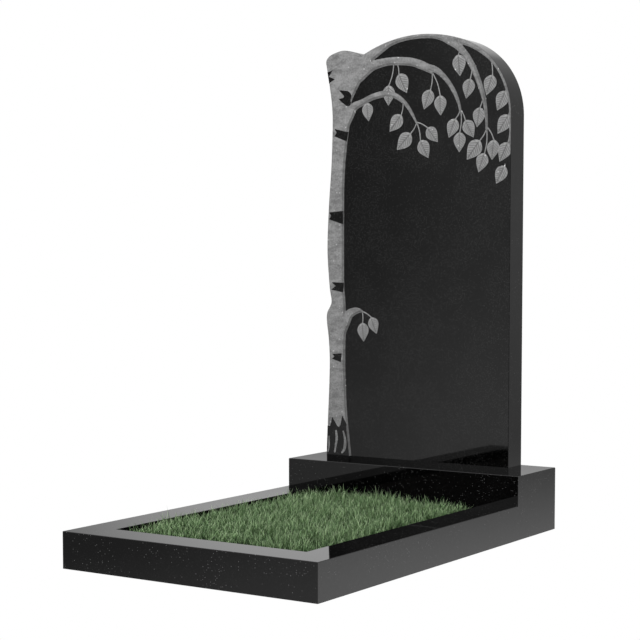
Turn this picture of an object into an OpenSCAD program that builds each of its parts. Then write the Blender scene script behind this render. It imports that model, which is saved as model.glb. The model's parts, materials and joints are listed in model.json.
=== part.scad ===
// Headstone with a carved birch, on its plinth, with a kerb and a bed of turf in front.
// Millimetres. X runs across, Y runs from the kerb's front to the plinth's back, Z is up.
// The origin is on the ground, at the middle of the footprint.

/* [Headstone] */
// Width of the headstone, from the trunk's foot to the right side
stone_w = 522.5; // [440:0.5:640]
// Height of the headstone above the plinth
stone_h = 1054; // [880:1:1400]
// Thickness of the polished slab, without the carving
stone_t = 70; // [50:1:120]
// Radius of the right shoulder
shoulder_r = 197; // [100:1:240]
// How far the notch beside the trunk's head lies below the crest
notch_drop = 42; // [30:1:60]

/* [Plinth] */
// Plinth left bare at the trunk's side of the headstone
left_margin = 31; // [10:0.5:120]
// Plinth left bare at the other side of the headstone
right_margin = 91.5; // [10:0.5:160]
// Depth of the plinth, front to back
plinth_d = 200; // [140:1:300]
// Height of the plinth
plinth_h = 150; // [110:1:250]

/* [Kerb and turf] */
// Length of the kerb, from its front face to the plinth
kerb_l = 840; // [500:1:1400]
// Width of a kerb bar
kerb_w = 80; // [50:1:120]
// Height of a kerb bar
kerb_h = 80; // [60:1:100]
// How far the turf's edge lies below the top of the kerb
turf_drop = 24; // [10:1:40]
// How much higher the turf is in its middle
turf_crown = 8; // [2:1:16]
// Width of the small flat cut along the edges of the plinth and the kerb
arris = 1; // [0.5:0.5:5]

/* [Birch carving] */
// Height of the carving over the slab
relief = 5; // [3:0.5:10]
// Depth of the knots and of the cuts between the roots
knot_depth = 2; // [1:0.5:2.5]
// Rim left between a cut and the trunk's right edge
rim = 2; // [1:0.5:4]
// Width of a leaf as a share of its length
leaf_share = 0.68; // [0.4:0.01:0.9]
// Depth of the groove along a leaf's middle
vein_depth = 1; // [0.5:0.1:2]
// Width of the groove along a leaf's middle
vein_w = 1.5; // [1:0.1:3]
// Width of a leaf's stalk
stalk_w = 4; // [2:0.5:6]

/* [Hidden] */

set_w = left_margin + stone_w + right_margin;
set_l = kerb_l + plinth_d;
front_y = -set_l / 2;
plinth_y = front_y + kerb_l;
back_y = set_l / 2;
stone_x = -set_w / 2 + left_margin;
bed_w = set_w - 2 * kerb_w;
bed_l = kerb_l - kerb_w;

polished = "#1b1b1d";
grass = "#5d7a4c";
// Steps that a curve takes between two of its stations
steps = 4;
// Points along one side of a leaf
leaf_steps = 10;
// A leaf is widest nearer its stalk the further this is below 1
leaf_lead = 0.7;
// How far a shape runs into or past its neighbour, to fuse with it or clear it
lap = 1;

// ---- Outline of the headstone: x from the trunk's foot, z from the plinth ----

// Width of the trunk's head, up to the notch where the top curve starts
head_w = 103;
// Width that the crown is drawn for, from the notch to the right side
drawn_w = 419.5;
// Place of the crest in that drawing
drawn_crest = 168.5;

stretch = (stone_w - head_w) / drawn_w;
crest_x = head_w + drawn_crest * stretch;
top_r = (pow(crest_x - head_w, 2) + pow(notch_drop, 2)) / (2 * notch_drop);
top_z = stone_h - top_r;
corner_r = min(shoulder_r, 0.95 * (stone_w - crest_x), 0.8 * top_r);
corner_x = stone_w - corner_r;
corner_z = top_z + sqrt(pow(top_r - corner_r, 2) - pow(corner_x - crest_x, 2));
tangent_x = crest_x + top_r * (corner_x - crest_x) / (top_r - corner_r);

// A place in the crown: x as drawn, and how far it lies below the crest
function crown(p) = [p[0] <= head_w ? p[0] : head_w + (p[0] - head_w) * stretch, stone_h - p[1]];
function crowned(list) = [for (p = list) crown(p)];

// Smooth curve through stations, of which any column but the first two is a width
function smooth_at(p0, p1, p2, p3, t) =
    0.5 * (2 * p1 + (p2 - p0) * t + (2 * p0 - 5 * p1 + 4 * p2 - p3) * t * t
        + (3 * p1 - p0 - 3 * p2 + p3) * t * t * t);
function smooth(p) = let (end = len(p) - 1)
    concat([for (i = [0 : end - 1]) for (s = [0 : steps - 1])
        smooth_at(p[max(i - 1, 0)], p[i], p[i + 1], p[min(i + 2, end)], s / steps)], [p[end]]);
function reversed(list) = [for (i = [len(list) - 1 : -1 : 0]) list[i]];

// Left edge of the trunk: up from the foot past the burr, then down from the crest
left_low = [[0, 0], [4, 100], [8, 190], [9, 250], [6, 300], [0.5, 342], [1, 365], [10, 382],
    [14.5, 397], [9, 430], [3, 500]];
left_high = [[2, 504], [7, 404], [14, 314], [17.5, 214], [16, 164], [9, 114], [0, 64]];
// Top of the sawn head, from the trunk's left edge to the notch
head_top = [[-2, 52], [0, 43], [10, 34], [30, 27], [50, 24], [70, 27], [90, 33], [98, 38],
    [head_w + lap, notch_drop + lap]];
// Right edge of the trunk, up from the foot and then down from the crest
right_low = [[75, 0], [69, 50], [63, 100], [59, 160], [56, 250], [58, 325], [57, 385],
    [53, 430], [52, 500]];
right_high = [[52, 404], [53, 354], [56, 304], [62, 254], [68, 214], [72, 180], [72, 158],
    [head_w + lap, 100]];
// Underside of the second bough, from the crotch to where the boughs part
bough_under = [[72, 158], [77, 139], [87, 122], [103, 104], [121, 89], [137, 79]];

module trunk_outline() {
    polygon(concat(
        smooth(concat(left_low, crowned(left_high), crowned(head_top))),
        reversed(smooth(concat(right_low, crowned(right_high))))));
}

module top_curve() {
    intersection() {
        translate([crest_x, top_z]) circle(top_r, $fn = 180);
        translate([head_w - 3 * lap, stone_h - 2 * notch_drop])
            square([tangent_x - head_w + 3 * lap, 2 * notch_drop + lap]);
    }
}

module shoulder() {
    translate([corner_x, corner_z]) circle(corner_r, $fn = 120);
}

module stone_outline() {
    trunk_outline();
    top_curve();
    shoulder();
    translate([head_w / 4, 0]) square([stone_w - head_w / 4, corner_z]);
    translate([head_w / 2, 0])
        square([tangent_x - head_w / 2, stone_h - 2 * notch_drop + lap]);
}

// ---- Boughs, each a list of [x, drop below the crest, width] ----

lowest_bough = [[50, 215, 30], [64, 187, 34], [82, 167, 22], [105, 158, 16.5], [135, 146, 15.5],
    [165, 140, 16], [185, 140, 15], [205, 147, 13], [225, 160, 11], [240, 176, 9],
    [255, 199, 6.5], [265, 217, 4]];
middle_bough = [[100, 90, 30], [120, 76, 28], [140, 67, 24], [175, 61, 20], [205, 61, 20],
    [245, 65, 20], [275, 74, 20], [295, 82, 17], [315, 88, 15], [335, 102, 13],
    [355, 124, 11], [370, 147, 10], [382, 174, 7.5], [387, 194, 5.5]];
// A side twig that two leaves hang from
side_twig = [[268, 74, 14], [290, 86, 11], [307, 96, 6]];
upper_bough = [[118, 50, 34], [139, 38, 27], [155, 30, 24], [175, 21, 18], [190, 15, 15], [215, 9, 13],
    [245, 5, 13], [275, 4, 13], [295, 5, 13], [315, 7, 14], [335, 12, 17], [355, 20, 22],
    [375, 33, 19], [388, 45, 17], [405, 65, 16], [421, 91, 15], [436, 124, 13],
    [447, 154, 11.5], [454, 184, 9], [457.5, 214, 7], [458.5, 242, 5.5]];
// The outer bough hugs the shoulder: [angle round it, width]
outer_bough = [[78, 13], [66, 11], [54, 9], [42, 6], [30, 5], [20, 5], [10, 4], [0, 3.5]];
// The outer bough ends here, below the crest
outer_end = 279;
// The small bough on the burr: [x, height above the foot, width]
low_bough = [[50, 316, 17], [59, 345, 25], [68, 362.5, 24], [79, 369, 20], [88, 372, 17],
    [97, 372.8, 12], [103, 372, 8], [108, 370.5, 4]];

function heading(c, i) = let (a = c[max(i - 1, 0)], b = c[min(i + 1, len(c) - 1)])
    atan2(b[1] - a[1], b[0] - a[0]);
function edge(c, side) = [for (i = [0 : len(c) - 1])
    [c[i][0], c[i][1]] + side * c[i][2] / 2 * [-sin(heading(c, i)), cos(heading(c, i))]];
function in_crown(list) = [for (p = list) concat(crown(p), [p[2]])];

module ribbon(stations) {
    course = smooth(stations);
    polygon(concat(edge(course, 1), reversed(edge(course, -1))));
}

module boughs() {
    ribbon(in_crown(lowest_bough));
    ribbon(in_crown(middle_bough));
    ribbon(in_crown(side_twig));
    ribbon(in_crown(upper_bough));
    ribbon(concat([for (s = outer_bough)
        [corner_x + (corner_r - s[1] / 2) * cos(s[0]), corner_z + (corner_r - s[1] / 2) * sin(s[0]),
            s[1] + lap]],
        [[stone_w - 1.5, stone_h - outer_end, 3]]));
    ribbon(low_bough);
    polygon(concat(smooth(crowned(bough_under)), crowned([[140, 0], [60, 0], [50, 150]])));
}

// ---- Leaves, each as [where the stalk leaves the bough, base, tip] ----

crown_leaves = [
    [[119, 150], [120, 159], [125, 205]], [[198, 66], [184, 119], [183, 169]],
    [[205, 60], [213, 93], [236, 141]], [[225, 160], [220, 194], [187, 234]],
    [[264, 216], [247, 241], [208, 280]], [[264, 214], [275, 259], [298, 303]],
    [[264, 214], [295, 229], [324, 265]], [[307, 94], [303, 137], [285, 184]],
    [[307, 94], [330, 152], [332, 201]], [[386, 190], [373, 211], [355, 256]],
    [[387, 190], [400, 216], [423, 258]], [[387, 190], [385, 244], [384, 292]],
    [[384, 38], [380, 57], [385, 109]], [[416, 84], [413, 117], [402, 164]],
    [[448, 158], [440, 187], [432, 234]], [[458, 238], [440, 266], [405, 311]],
    [[458, 238], [453, 297], [437, 342]], [[457, 232], [478, 266], [473, 314]],
    [[462, 56], [473, 112], [457, 159]], [[511, 120], [508, 152], [486, 197]],
    [[520, 180], [517, 209], [488, 252]], [[521, 250], [517, 274], [495, 319]],
    [[508, 324], [507, 329], [485, 371]]
];
low_leaves = [
    [[107, 371], [108, 342], [112, 294]], [[106, 371], [134, 356], [150, 315]]
];
leaves = concat([for (l = crown_leaves) crowned(l)], low_leaves);

function leaf_side(length, side) = [for (i = [1 : leaf_steps - 1]) let (t = i / leaf_steps)
    [length * t, side * length * leaf_share / 2 * sin(180 * pow(t, leaf_lead))]];

module along(from, to) {
    way = to - from;
    translate(from) rotate(atan2(way[1], way[0])) children();
}

module leaf(l) {
    blade = norm(l[2] - l[1]);
    along(l[1], l[2])
        polygon(concat([[0, 0]], leaf_side(blade, 1), [[blade, 0]],
            reversed(leaf_side(blade, -1))));
    along(l[0], l[1])
        translate([0, -stalk_w / 2]) square([norm(l[1] - l[0]) + stalk_w / 2, stalk_w]);
}

module vein(l) {
    along(l[1], l[2])
        translate([stalk_w / 2, -vein_w / 2]) square([norm(l[2] - l[1]) * 0.85, vein_w]);
}

// ---- Knots and roots, cut into the trunk ----

// A swallow-tailed knot: its left tips and notch, and a right side that hangs lower and leans
module knot(left, z, tips, notch, right, hang, tall, lean) {
    polygon([[left, z + tips], [right, z - hang + tall], [right - lean, z - hang - tall],
        [left, z - tips], [left + notch, z]]);
}

module knots() {
    polygon(crowned([[-lap * 4, 78], [20, 71], [8, 87], [26, 95], [10, 103], [-lap * 4, 106]]));
    polygon(crowned([[38, 123], [52, 124.5], [63, 126], [71, 130], [78 - rim, 138],
        [75 - rim, 148], [72 - rim, 164], [61, 164], [45, 153], [37, 145], [50, 143],
        [54, 139]]));
    knot(24, stone_h - 229, 9.5, 7, 66 - rim, 12, 11.5, 4);
    knot(8, stone_h - 440, 9, 6, 52 - rim, 5, 17, 0);
    knot(15, 435, 9.5, 13, 53 - rim, 4, 12.5, 0);
    knot(17, 254, 6.5, 8, 47, 3, 11.5, 2);
}

// Line where the bark ends in teeth above the roots, from the left edge to the right
bark_teeth = [[-4, 76], [5, 74], [12, 74], [18.5, 98], [33, 76], [38, 72], [43, 77], [49, 103],
    [62, 81]];
// Roots that stay proud between the cuts: [x, height above the foot, width]
roots = [
    [[8, 47, 3], [8.5, 30, 4], [8, 18, 4], [5, 7, 3]],
    [[30, 62, 5], [32, 45, 7], [30, 28, 6], [26, 8, 5]],
    [[52, 62, 4], [57, 45, 6], [58, 30, 8], [55, 15, 7], [48, 7, 5]]
];

module root_cuts() {
    difference() {
        polygon(concat(bark_teeth, [for (p = reversed(smooth(right_low))) if (p[1] < 80)
            [p[0] - rim, p[1]]], [[75 - rim, -lap], [-4, -lap]]));
        for (root = roots) ribbon(root);
    }
}

// ---- Sub-parts ----

// Sets a drawing of the headstone upright, with its base depth in front of the stone's back
module upright(depth, height) {
    translate([stone_x, back_y - depth, plinth_h]) rotate([90, 0, 0])
        linear_extrude(height) children();
}

module headstone() color(polished) {
    difference() {
        union() {
            upright(0, stone_t) stone_outline();
            upright(stone_t - lap, relief + lap) intersection() {
                stone_outline();
                union() {
                    trunk_outline();
                    boughs();
                    for (l = leaves) leaf(l);
                }
            }
        }
        upright(stone_t + relief - knot_depth, knot_depth + lap) {
            knots();
            root_cuts();
        }
        upright(stone_t + relief - vein_depth, vein_depth + lap)
            for (l = leaves) vein(l);
    }
}

// A bar along X or Y whose upper edges are cut flat, seen from its end
module bar_end(width, height) {
    polygon([[0, 0], [width, 0], [width, height - arris], [width - arris, height],
        [arris, height], [0, height - arris]]);
}

module plinth() color(polished) {
    intersection() {
        translate([-set_w / 2, back_y, 0]) rotate([90, 0, 0])
            linear_extrude(plinth_d) bar_end(set_w, plinth_h);
        translate([-set_w / 2, plinth_y, 0]) rotate([90, 0, 90])
            linear_extrude(set_w) bar_end(plinth_d, plinth_h);
    }
}

module side_kerb(x) color(polished) {
    translate([x, plinth_y, 0]) rotate([90, 0, 0])
        linear_extrude(bed_l) bar_end(kerb_w, kerb_h);
}

module left_kerb() side_kerb(-set_w / 2);
module right_kerb() side_kerb(set_w / 2 - kerb_w);

// The front bar's inner edge is cut flat along the bed only, so that its joints stay closed
module front_kerb() color(polished) {
    difference() {
        intersection() {
            translate([-set_w / 2, front_y + kerb_w, 0]) rotate([90, 0, 0])
                linear_extrude(kerb_w) bar_end(set_w, kerb_h);
            translate([-set_w / 2, front_y, 0]) rotate([90, 0, 90])
                linear_extrude(set_w) polygon([[0, 0], [kerb_w, 0], [kerb_w, kerb_h],
                    [arris, kerb_h], [0, kerb_h - arris]]);
        }
        translate([-bed_w / 2, front_y + kerb_w, kerb_h]) rotate([90, 0, 90])
            linear_extrude(bed_w) polygon([[-arris, 0], [-arris, lap], [lap, lap],
                [lap, -arris], [0, -arris]]);
    }
}

module turf() color(grass) {
    crown_r = (pow(bed_w / 2, 2) + pow(turf_crown, 2)) / (2 * turf_crown);
    intersection() {
        translate([-bed_w / 2, front_y + kerb_w, 0]) cube([bed_w, bed_l, kerb_h]);
        translate([0, plinth_y + lap, kerb_h - turf_drop + turf_crown - crown_r])
            rotate([90, 0, 0]) cylinder(bed_l + 2 * lap, crown_r, crown_r, $fn = 180);
    }
}

headstone();
plinth();
left_kerb();
right_kerb();
front_kerb();
turf();
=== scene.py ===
"""Finished look of a headstone with a carved birch: slab, plinth, kerb and a bed of turf.

The drawing of the headstone's front is in millimetres: x runs to the right from the trunk's
foot and z runs up from the plinth. Everything that is placed in the scene is in metres.
"""

import json
import logging
import math
from dataclasses import dataclass, field
from enum import Enum

import bpy
import numpy as np
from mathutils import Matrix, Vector
from mathutils.geometry import tessellate_polygon

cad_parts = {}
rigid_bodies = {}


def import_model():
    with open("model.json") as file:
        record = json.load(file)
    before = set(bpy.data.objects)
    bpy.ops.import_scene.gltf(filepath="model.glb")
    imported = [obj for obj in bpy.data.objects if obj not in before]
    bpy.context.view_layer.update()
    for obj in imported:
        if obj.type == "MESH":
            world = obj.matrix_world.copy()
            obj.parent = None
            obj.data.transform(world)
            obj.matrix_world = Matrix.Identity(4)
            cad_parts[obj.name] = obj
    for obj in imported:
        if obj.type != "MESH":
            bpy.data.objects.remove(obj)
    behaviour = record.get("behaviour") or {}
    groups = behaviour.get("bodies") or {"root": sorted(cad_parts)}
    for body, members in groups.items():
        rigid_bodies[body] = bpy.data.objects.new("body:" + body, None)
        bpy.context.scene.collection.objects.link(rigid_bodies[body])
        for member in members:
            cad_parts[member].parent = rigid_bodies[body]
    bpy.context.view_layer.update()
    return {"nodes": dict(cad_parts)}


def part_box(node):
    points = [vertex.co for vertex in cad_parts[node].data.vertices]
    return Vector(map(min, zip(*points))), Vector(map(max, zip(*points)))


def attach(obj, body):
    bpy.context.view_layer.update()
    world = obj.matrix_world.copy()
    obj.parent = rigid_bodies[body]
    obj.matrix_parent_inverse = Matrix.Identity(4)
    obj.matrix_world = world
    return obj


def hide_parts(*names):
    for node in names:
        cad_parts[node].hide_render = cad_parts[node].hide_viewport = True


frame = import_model()

log = logging.getLogger("headstone")

MM = 0.001
BODY = "root"
Station = list[float]


class Node(Enum):
    """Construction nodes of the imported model."""

    HEADSTONE = "headstone"
    PLINTH = "plinth"
    LEFT_KERB = "left_kerb"
    RIGHT_KERB = "right_kerb"
    FRONT_KERB = "front_kerb"
    TURF = "turf"


class Slot(Enum):
    """Material slots of the record."""

    CARVED = "carved_stone"
    POLISHED = "polished_stone"
    KERB = "kerb_stone"
    TURF = "turf"


# ---------------------------------------------------------------- node trees


class Graph:
    """A node tree that is being wired."""

    def __init__(self, tree: bpy.types.NodeTree) -> None:
        """Starts on a tree with no nodes in it."""
        self.tree = tree
        tree.nodes.clear()

    def node(self, kind: str, **settings: object) -> bpy.types.Node:
        """Adds a node.

        Args:
            kind: the node's type name.
            settings: its properties.

        Returns:
            The new node.
        """
        made = self.tree.nodes.new(kind)
        for name, value in settings.items():
            setattr(made, name, value)
        return made

    def link(self, source: bpy.types.NodeSocket, target: bpy.types.NodeSocket) -> None:
        """Joins an output to an input."""
        self.tree.links.new(source, target)

    def feed(self, target: bpy.types.NodeSocket, value: object) -> None:
        """Gives an input either another node's output or a plain value."""
        if isinstance(value, bpy.types.NodeSocket):
            self.link(value, target)
        else:
            target.default_value = value

    def math(self, operation: str, *values: object) -> bpy.types.NodeSocket:
        """Adds a Math node.

        Args:
            operation: what it does.
            values: one number or output for each of its inputs.

        Returns:
            Its result.
        """
        made = self.node("ShaderNodeMath", operation=operation)
        for target, value in zip(made.inputs, values):
            self.feed(target, value)
        return made.outputs[0]

    def ramp(self, value: object, low: float, high: float, start: float = 0.0,
             end: float = 1.0) -> bpy.types.NodeSocket:
        """Adds a smooth step.

        Args:
            value: the output it reads.
            low: where the step begins.
            high: where it ends.
            start: result below low.
            end: result above high.

        Returns:
            The stepped value.
        """
        made = self.node("ShaderNodeMapRange", interpolation_type="SMOOTHSTEP")
        for target, given in zip(made.inputs, (value, low, high, start, end)):
            self.feed(target, given)
        return made.outputs[0]

    def mix(self, share: object, first: object, second: object,
            blend: str = "MIX") -> bpy.types.NodeSocket:
        """Mixes two colours.

        Args:
            share: how much of the second shows.
            first: colour or output.
            second: colour or output.
            blend: the way of mixing.

        Returns:
            The mixed colour.
        """
        made = self.node("ShaderNodeMix", data_type="RGBA", blend_type=blend)
        for name, value in (("Factor_Float", share), ("A_Color", first), ("B_Color", second)):
            self.feed(next(s for s in made.inputs if s.identifier == name), value)
        return next(s for s in made.outputs if s.identifier == "Result_Color")


def grey(level: float) -> tuple[float, float, float, float]:
    """A neutral colour of a linear brightness."""
    return (level, level, level, 1.0)


def shader_group(name: str, inputs: dict[str, float], outputs: dict[str, str]) -> tuple[
        Graph, bpy.types.Node, bpy.types.Node]:
    """Starts a shader node group.

    Args:
        name: the group's name.
        inputs: number inputs with their default values. Position comes before them.
        outputs: output names with their socket types.

    Returns:
        The graph, its input node and its output node.
    """
    tree = bpy.data.node_groups.new(name, "ShaderNodeTree")
    tree.interface.new_socket("Position", in_out="INPUT", socket_type="NodeSocketVector")
    for key, value in inputs.items():
        socket = tree.interface.new_socket(key, in_out="INPUT", socket_type="NodeSocketFloat")
        socket.default_value = value
    for key, kind in outputs.items():
        tree.interface.new_socket(key, in_out="OUTPUT", socket_type=kind)
    graph = Graph(tree)
    return graph, graph.node("NodeGroupInput"), graph.node("NodeGroupOutput")


def flecks_group() -> bpy.types.NodeTree:
    """Crystals scattered in the stone: single bright grains, denser in some clouds than others."""
    graph, given, result = shader_group(
        "stone_flecks",
        {"Spacing": 0.004, "Cloud Size": 0.07, "Size": 0.3, "Share": 0.3},
        {"Mask": "NodeSocketFloat"})
    rate = graph.math("DIVIDE", 1.0, given.outputs["Spacing"])
    cells = graph.node("ShaderNodeTexVoronoi", voronoi_dimensions="3D", feature="F1")
    graph.link(given.outputs["Position"], cells.inputs["Vector"])
    graph.link(rate, cells.inputs["Scale"])
    clouds = graph.node("ShaderNodeTexNoise", noise_dimensions="3D")
    graph.link(given.outputs["Position"], clouds.inputs["Vector"])
    graph.link(graph.math("DIVIDE", 1.0, given.outputs["Cloud Size"]), clouds.inputs["Scale"])
    clouds.inputs["Detail"].default_value = 2.0
    cell = graph.node("ShaderNodeSeparateColor")
    graph.link(cells.outputs["Color"], cell.inputs[0])
    density = graph.math("MULTIPLY", given.outputs["Share"],
                         graph.ramp(clouds.outputs["Fac"], 0.36, 0.68, 0.25, 1.9))
    chosen = graph.math("LESS_THAN", cell.outputs[0], density)
    near = graph.ramp(graph.math("DIVIDE", cells.outputs["Distance"], given.outputs["Size"]),
                      0.45, 1.0, 1.0, 0.0)
    shine = graph.math("POWER", cell.outputs[1], 1.8)
    graph.link(graph.math("MULTIPLY", graph.math("MULTIPLY", chosen, near), shine),
               result.inputs["Mask"])
    return graph.tree


def mottle_group() -> bpy.types.NodeTree:
    """Cloudy unevenness of a surface, as a value around 0.5, wider along X than along Z."""
    graph, given, result = shader_group(
        "mottle", {"Size": 0.01, "Stretch": 1.0}, {"Value": "NodeSocketFloat"})
    squeeze = graph.node("ShaderNodeCombineXYZ")
    graph.link(graph.math("DIVIDE", 1.0, given.outputs["Stretch"]), squeeze.inputs[0])
    squeeze.inputs[1].default_value = 1.0
    squeeze.inputs[2].default_value = 1.0
    place = graph.node("ShaderNodeVectorMath", operation="MULTIPLY")
    graph.link(given.outputs["Position"], place.inputs[0])
    graph.link(squeeze.outputs[0], place.inputs[1])
    noise = graph.node("ShaderNodeTexNoise", noise_dimensions="3D")
    graph.link(place.outputs[0], noise.inputs["Vector"])
    graph.link(graph.math("DIVIDE", 1.0, given.outputs["Size"]), noise.inputs["Scale"])
    noise.inputs["Detail"].default_value = 4.0
    noise.inputs["Roughness"].default_value = 0.6
    graph.link(noise.outputs["Fac"], result.inputs["Value"])
    return graph.tree


class Effects:
    """The shader groups that several finishes share, each built once."""

    def __init__(self) -> None:
        """Builds the groups."""
        self.flecks = flecks_group()
        self.mottle = mottle_group()

    def place(self, graph: Graph, tree: bpy.types.NodeTree, position: bpy.types.NodeSocket,
              **values: float) -> bpy.types.NodeSocket:
        """Puts a group in a material.

        Args:
            graph: the material's graph.
            tree: the group.
            position: where its pattern is read.
            values: its number inputs, with underscores for spaces.

        Returns:
            The group's output.
        """
        made = graph.node("ShaderNodeGroup", node_tree=tree)
        graph.link(position, made.inputs["Position"])
        for name, value in values.items():
            made.inputs[name.replace("_", " ").title()].default_value = value
        return made.outputs[0]


# ---------------------------------------------------------------- finishes


def new_material(name: str) -> tuple[bpy.types.Material, Graph, bpy.types.Node,
                                     bpy.types.NodeSocket]:
    """Starts a material.

    Args:
        name: its name.

    Returns:
        The material, its graph, its Principled shader and the object's own coordinates.
    """
    material = bpy.data.materials.new(name)
    material.use_nodes = True
    graph = Graph(material.node_tree)
    output = graph.node("ShaderNodeOutputMaterial")
    shader = graph.node("ShaderNodeBsdfPrincipled")
    graph.link(shader.outputs[0], output.inputs["Surface"])
    place = graph.node("ShaderNodeTexCoord")
    return material, graph, shader, place.outputs["Object"]


@dataclass(frozen=True)
class PolishedGabbro:
    """Black gabbro polished to a mirror, with sparse grey flecks."""

    name: str = "polished_gabbro"
    body: float = 0.0006
    fleck: float = 0.16
    fine: float = 0.026
    roughness: float = 0.03
    hidden_top: bool = False

    def material(self, effects: Effects) -> bpy.types.Material:
        """Builds the material.

        Args:
            effects: the shared groups.

        Returns:
            The material.
        """
        material, graph, shader, place = new_material(self.name)
        coarse = effects.place(graph, effects.flecks, place, spacing=0.0044, cloud_size=0.07,
                               size=0.25, share=0.3)
        dust = effects.place(graph, effects.flecks, place, spacing=0.0028, cloud_size=0.11,
                             size=0.5, share=0.8)
        lit = graph.math("MULTIPLY_ADD", coarse, self.fleck,
                         graph.math("MULTIPLY", dust, self.fine))
        graph.link(graph.mix(lit, grey(self.body), grey(1.0)), shader.inputs["Base Color"])
        haze = effects.place(graph, effects.mottle, place, size=0.05, stretch=1.0)
        graph.link(graph.ramp(haze, 0.3, 0.7, self.roughness * 0.6, self.roughness * 1.4),
                   shader.inputs["Roughness"])
        shader.inputs["IOR"].default_value = 1.5
        if self.hidden_top:
            graph.link(self.mirrored_top(graph), shader.inputs["Alpha"])
        return material

    def mirrored_top(self, graph: Graph) -> bpy.types.NodeSocket:
        """Opacity that leaves the level top out of mirror images, to keep them clean."""
        around = graph.node("ShaderNodeNewGeometry")
        parts = graph.node("ShaderNodeSeparateXYZ")
        graph.link(around.outputs["Normal"], parts.inputs[0])
        level = graph.math("GREATER_THAN", graph.math("ABSOLUTE", parts.outputs[2]), 0.9)
        inside = graph.math("MAXIMUM", level, around.outputs["Backfacing"])
        path = graph.node("ShaderNodeLightPath")
        hidden = graph.math("MULTIPLY", path.outputs["Is Glossy Ray"], inside)
        return graph.math("SUBTRACT", 1.0, hidden)


@dataclass(frozen=True)
class TooledStone:
    """The same stone ground matt with a fine point: mid grey and mottled, with sparse white specks
    as painted glints, and painted shade where the piece marks it.
    """

    name: str
    light: float = 0.27
    dark: float = 0.12
    stretch: float = 2.2
    # Strength of the painted shade that darkens the colour where the piece marks it.
    groove: float = 0.0

    def material(self, effects: Effects) -> bpy.types.Material:
        """Builds the material.

        Args:
            effects: the shared groups.

        Returns:
            The material.
        """
        material, graph, shader, place = new_material(self.name)
        clouds = effects.place(graph, effects.mottle, place, size=0.014, stretch=self.stretch)
        grain = effects.place(graph, effects.mottle, place, size=0.0042, stretch=1.0)
        tone = graph.math("MULTIPLY_ADD", clouds, 0.5, graph.math("MULTIPLY", grain, 0.5))
        colour = graph.mix(graph.ramp(tone, 0.34, 0.66), grey(self.dark), grey(self.light))
        # Painted shade: darkens the colour towards near black where the piece marks it, on the
        # relief's right and lower rims and in the leaves' vein cuts.
        if self.groove:
            cut = graph.node("ShaderNodeAttribute", attribute_name="groove")
            colour = graph.mix(graph.math("MULTIPLY", cut.outputs["Fac"], self.groove), colour,
                               grey(self.dark * 0.3))
        # Painted glints: sparse white specks mixed into the base colour.
        painted_glint = effects.place(graph, effects.flecks, place, spacing=0.009, cloud_size=0.05,
                                size=0.24, share=0.18)
        graph.link(graph.mix(painted_glint, colour, grey(1.0)), shader.inputs["Base Color"])
        graph.link(graph.ramp(grain, 0.3, 0.7, 0.62, 0.9), shader.inputs["Roughness"])
        bump = graph.node("ShaderNodeBump")
        bump.inputs["Strength"].default_value = 0.55
        bump.inputs["Distance"].default_value = 0.0006
        graph.link(grain, bump.inputs["Height"])
        graph.link(bump.outputs[0], shader.inputs["Normal"])
        return material


@dataclass(frozen=True)
class GrassBlade:
    """Grass: dark at the root as painted shade among the blades, soft green above and paler at the
    tip, each blade its own tone.
    """

    name: str = "grass"
    # The near-black root colour is painted shade where the blades crowd together.
    root: tuple[float, float, float, float] = (0.008, 0.014, 0.006, 1.0)
    leaf: tuple[float, float, float, float] = (0.29, 0.49, 0.195, 1.0)
    pale: tuple[float, float, float, float] = (0.5, 0.6, 0.4, 1.0)

    def material(self, effects: Effects) -> bpy.types.Material:
        """Builds the material.

        Args:
            effects: the shared groups, of which grass uses none.

        Returns:
            The material.
        """
        material, graph, shader, _ = new_material(self.name)
        rise = graph.node("ShaderNodeAttribute", attribute_name="rise").outputs["Fac"]
        tone = graph.node("ShaderNodeAttribute", attribute_name="tone").outputs["Fac"]
        deep = (self.leaf[0] * 0.24, self.leaf[1] * 0.3, self.leaf[2] * 0.28, 1.0)
        green = graph.mix(tone, deep, self.leaf)
        # Painted shade: the blades darken to near black towards their roots.
        green = graph.mix(graph.ramp(rise, 0.2, 0.88), self.root, green)
        tip = graph.math("MULTIPLY", graph.ramp(rise, 0.55, 1.0), graph.ramp(tone, 0.1, 1.0))
        graph.link(graph.mix(tip, green, self.pale), shader.inputs["Base Color"])
        graph.link(graph.ramp(tone, 0.0, 1.0, 0.45, 0.65), shader.inputs["Roughness"])
        shader.inputs["Specular IOR Level"].default_value = 0.3
        return material


@dataclass(frozen=True)
class Soil:
    """Dark, damp, crumbly earth."""

    name: str = "soil"
    dark: tuple[float, float, float, float] = (0.004, 0.0035, 0.003, 1.0)
    light: tuple[float, float, float, float] = (0.03, 0.024, 0.018, 1.0)

    def material(self, effects: Effects) -> bpy.types.Material:
        """Builds the material.

        Args:
            effects: the shared groups.

        Returns:
            The material.
        """
        material, graph, shader, place = new_material(self.name)
        crumbs = effects.place(graph, effects.mottle, place, size=0.006, stretch=1.0)
        graph.link(graph.mix(graph.ramp(crumbs, 0.35, 0.7), self.dark, self.light),
                   shader.inputs["Base Color"])
        shader.inputs["Roughness"].default_value = 0.95
        bump = graph.node("ShaderNodeBump")
        bump.inputs["Strength"].default_value = 0.8
        bump.inputs["Distance"].default_value = 0.003
        graph.link(crumbs, bump.inputs["Height"])
        graph.link(bump.outputs[0], shader.inputs["Normal"])
        return material


# ---------------------------------------------------------------- drawing


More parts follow.
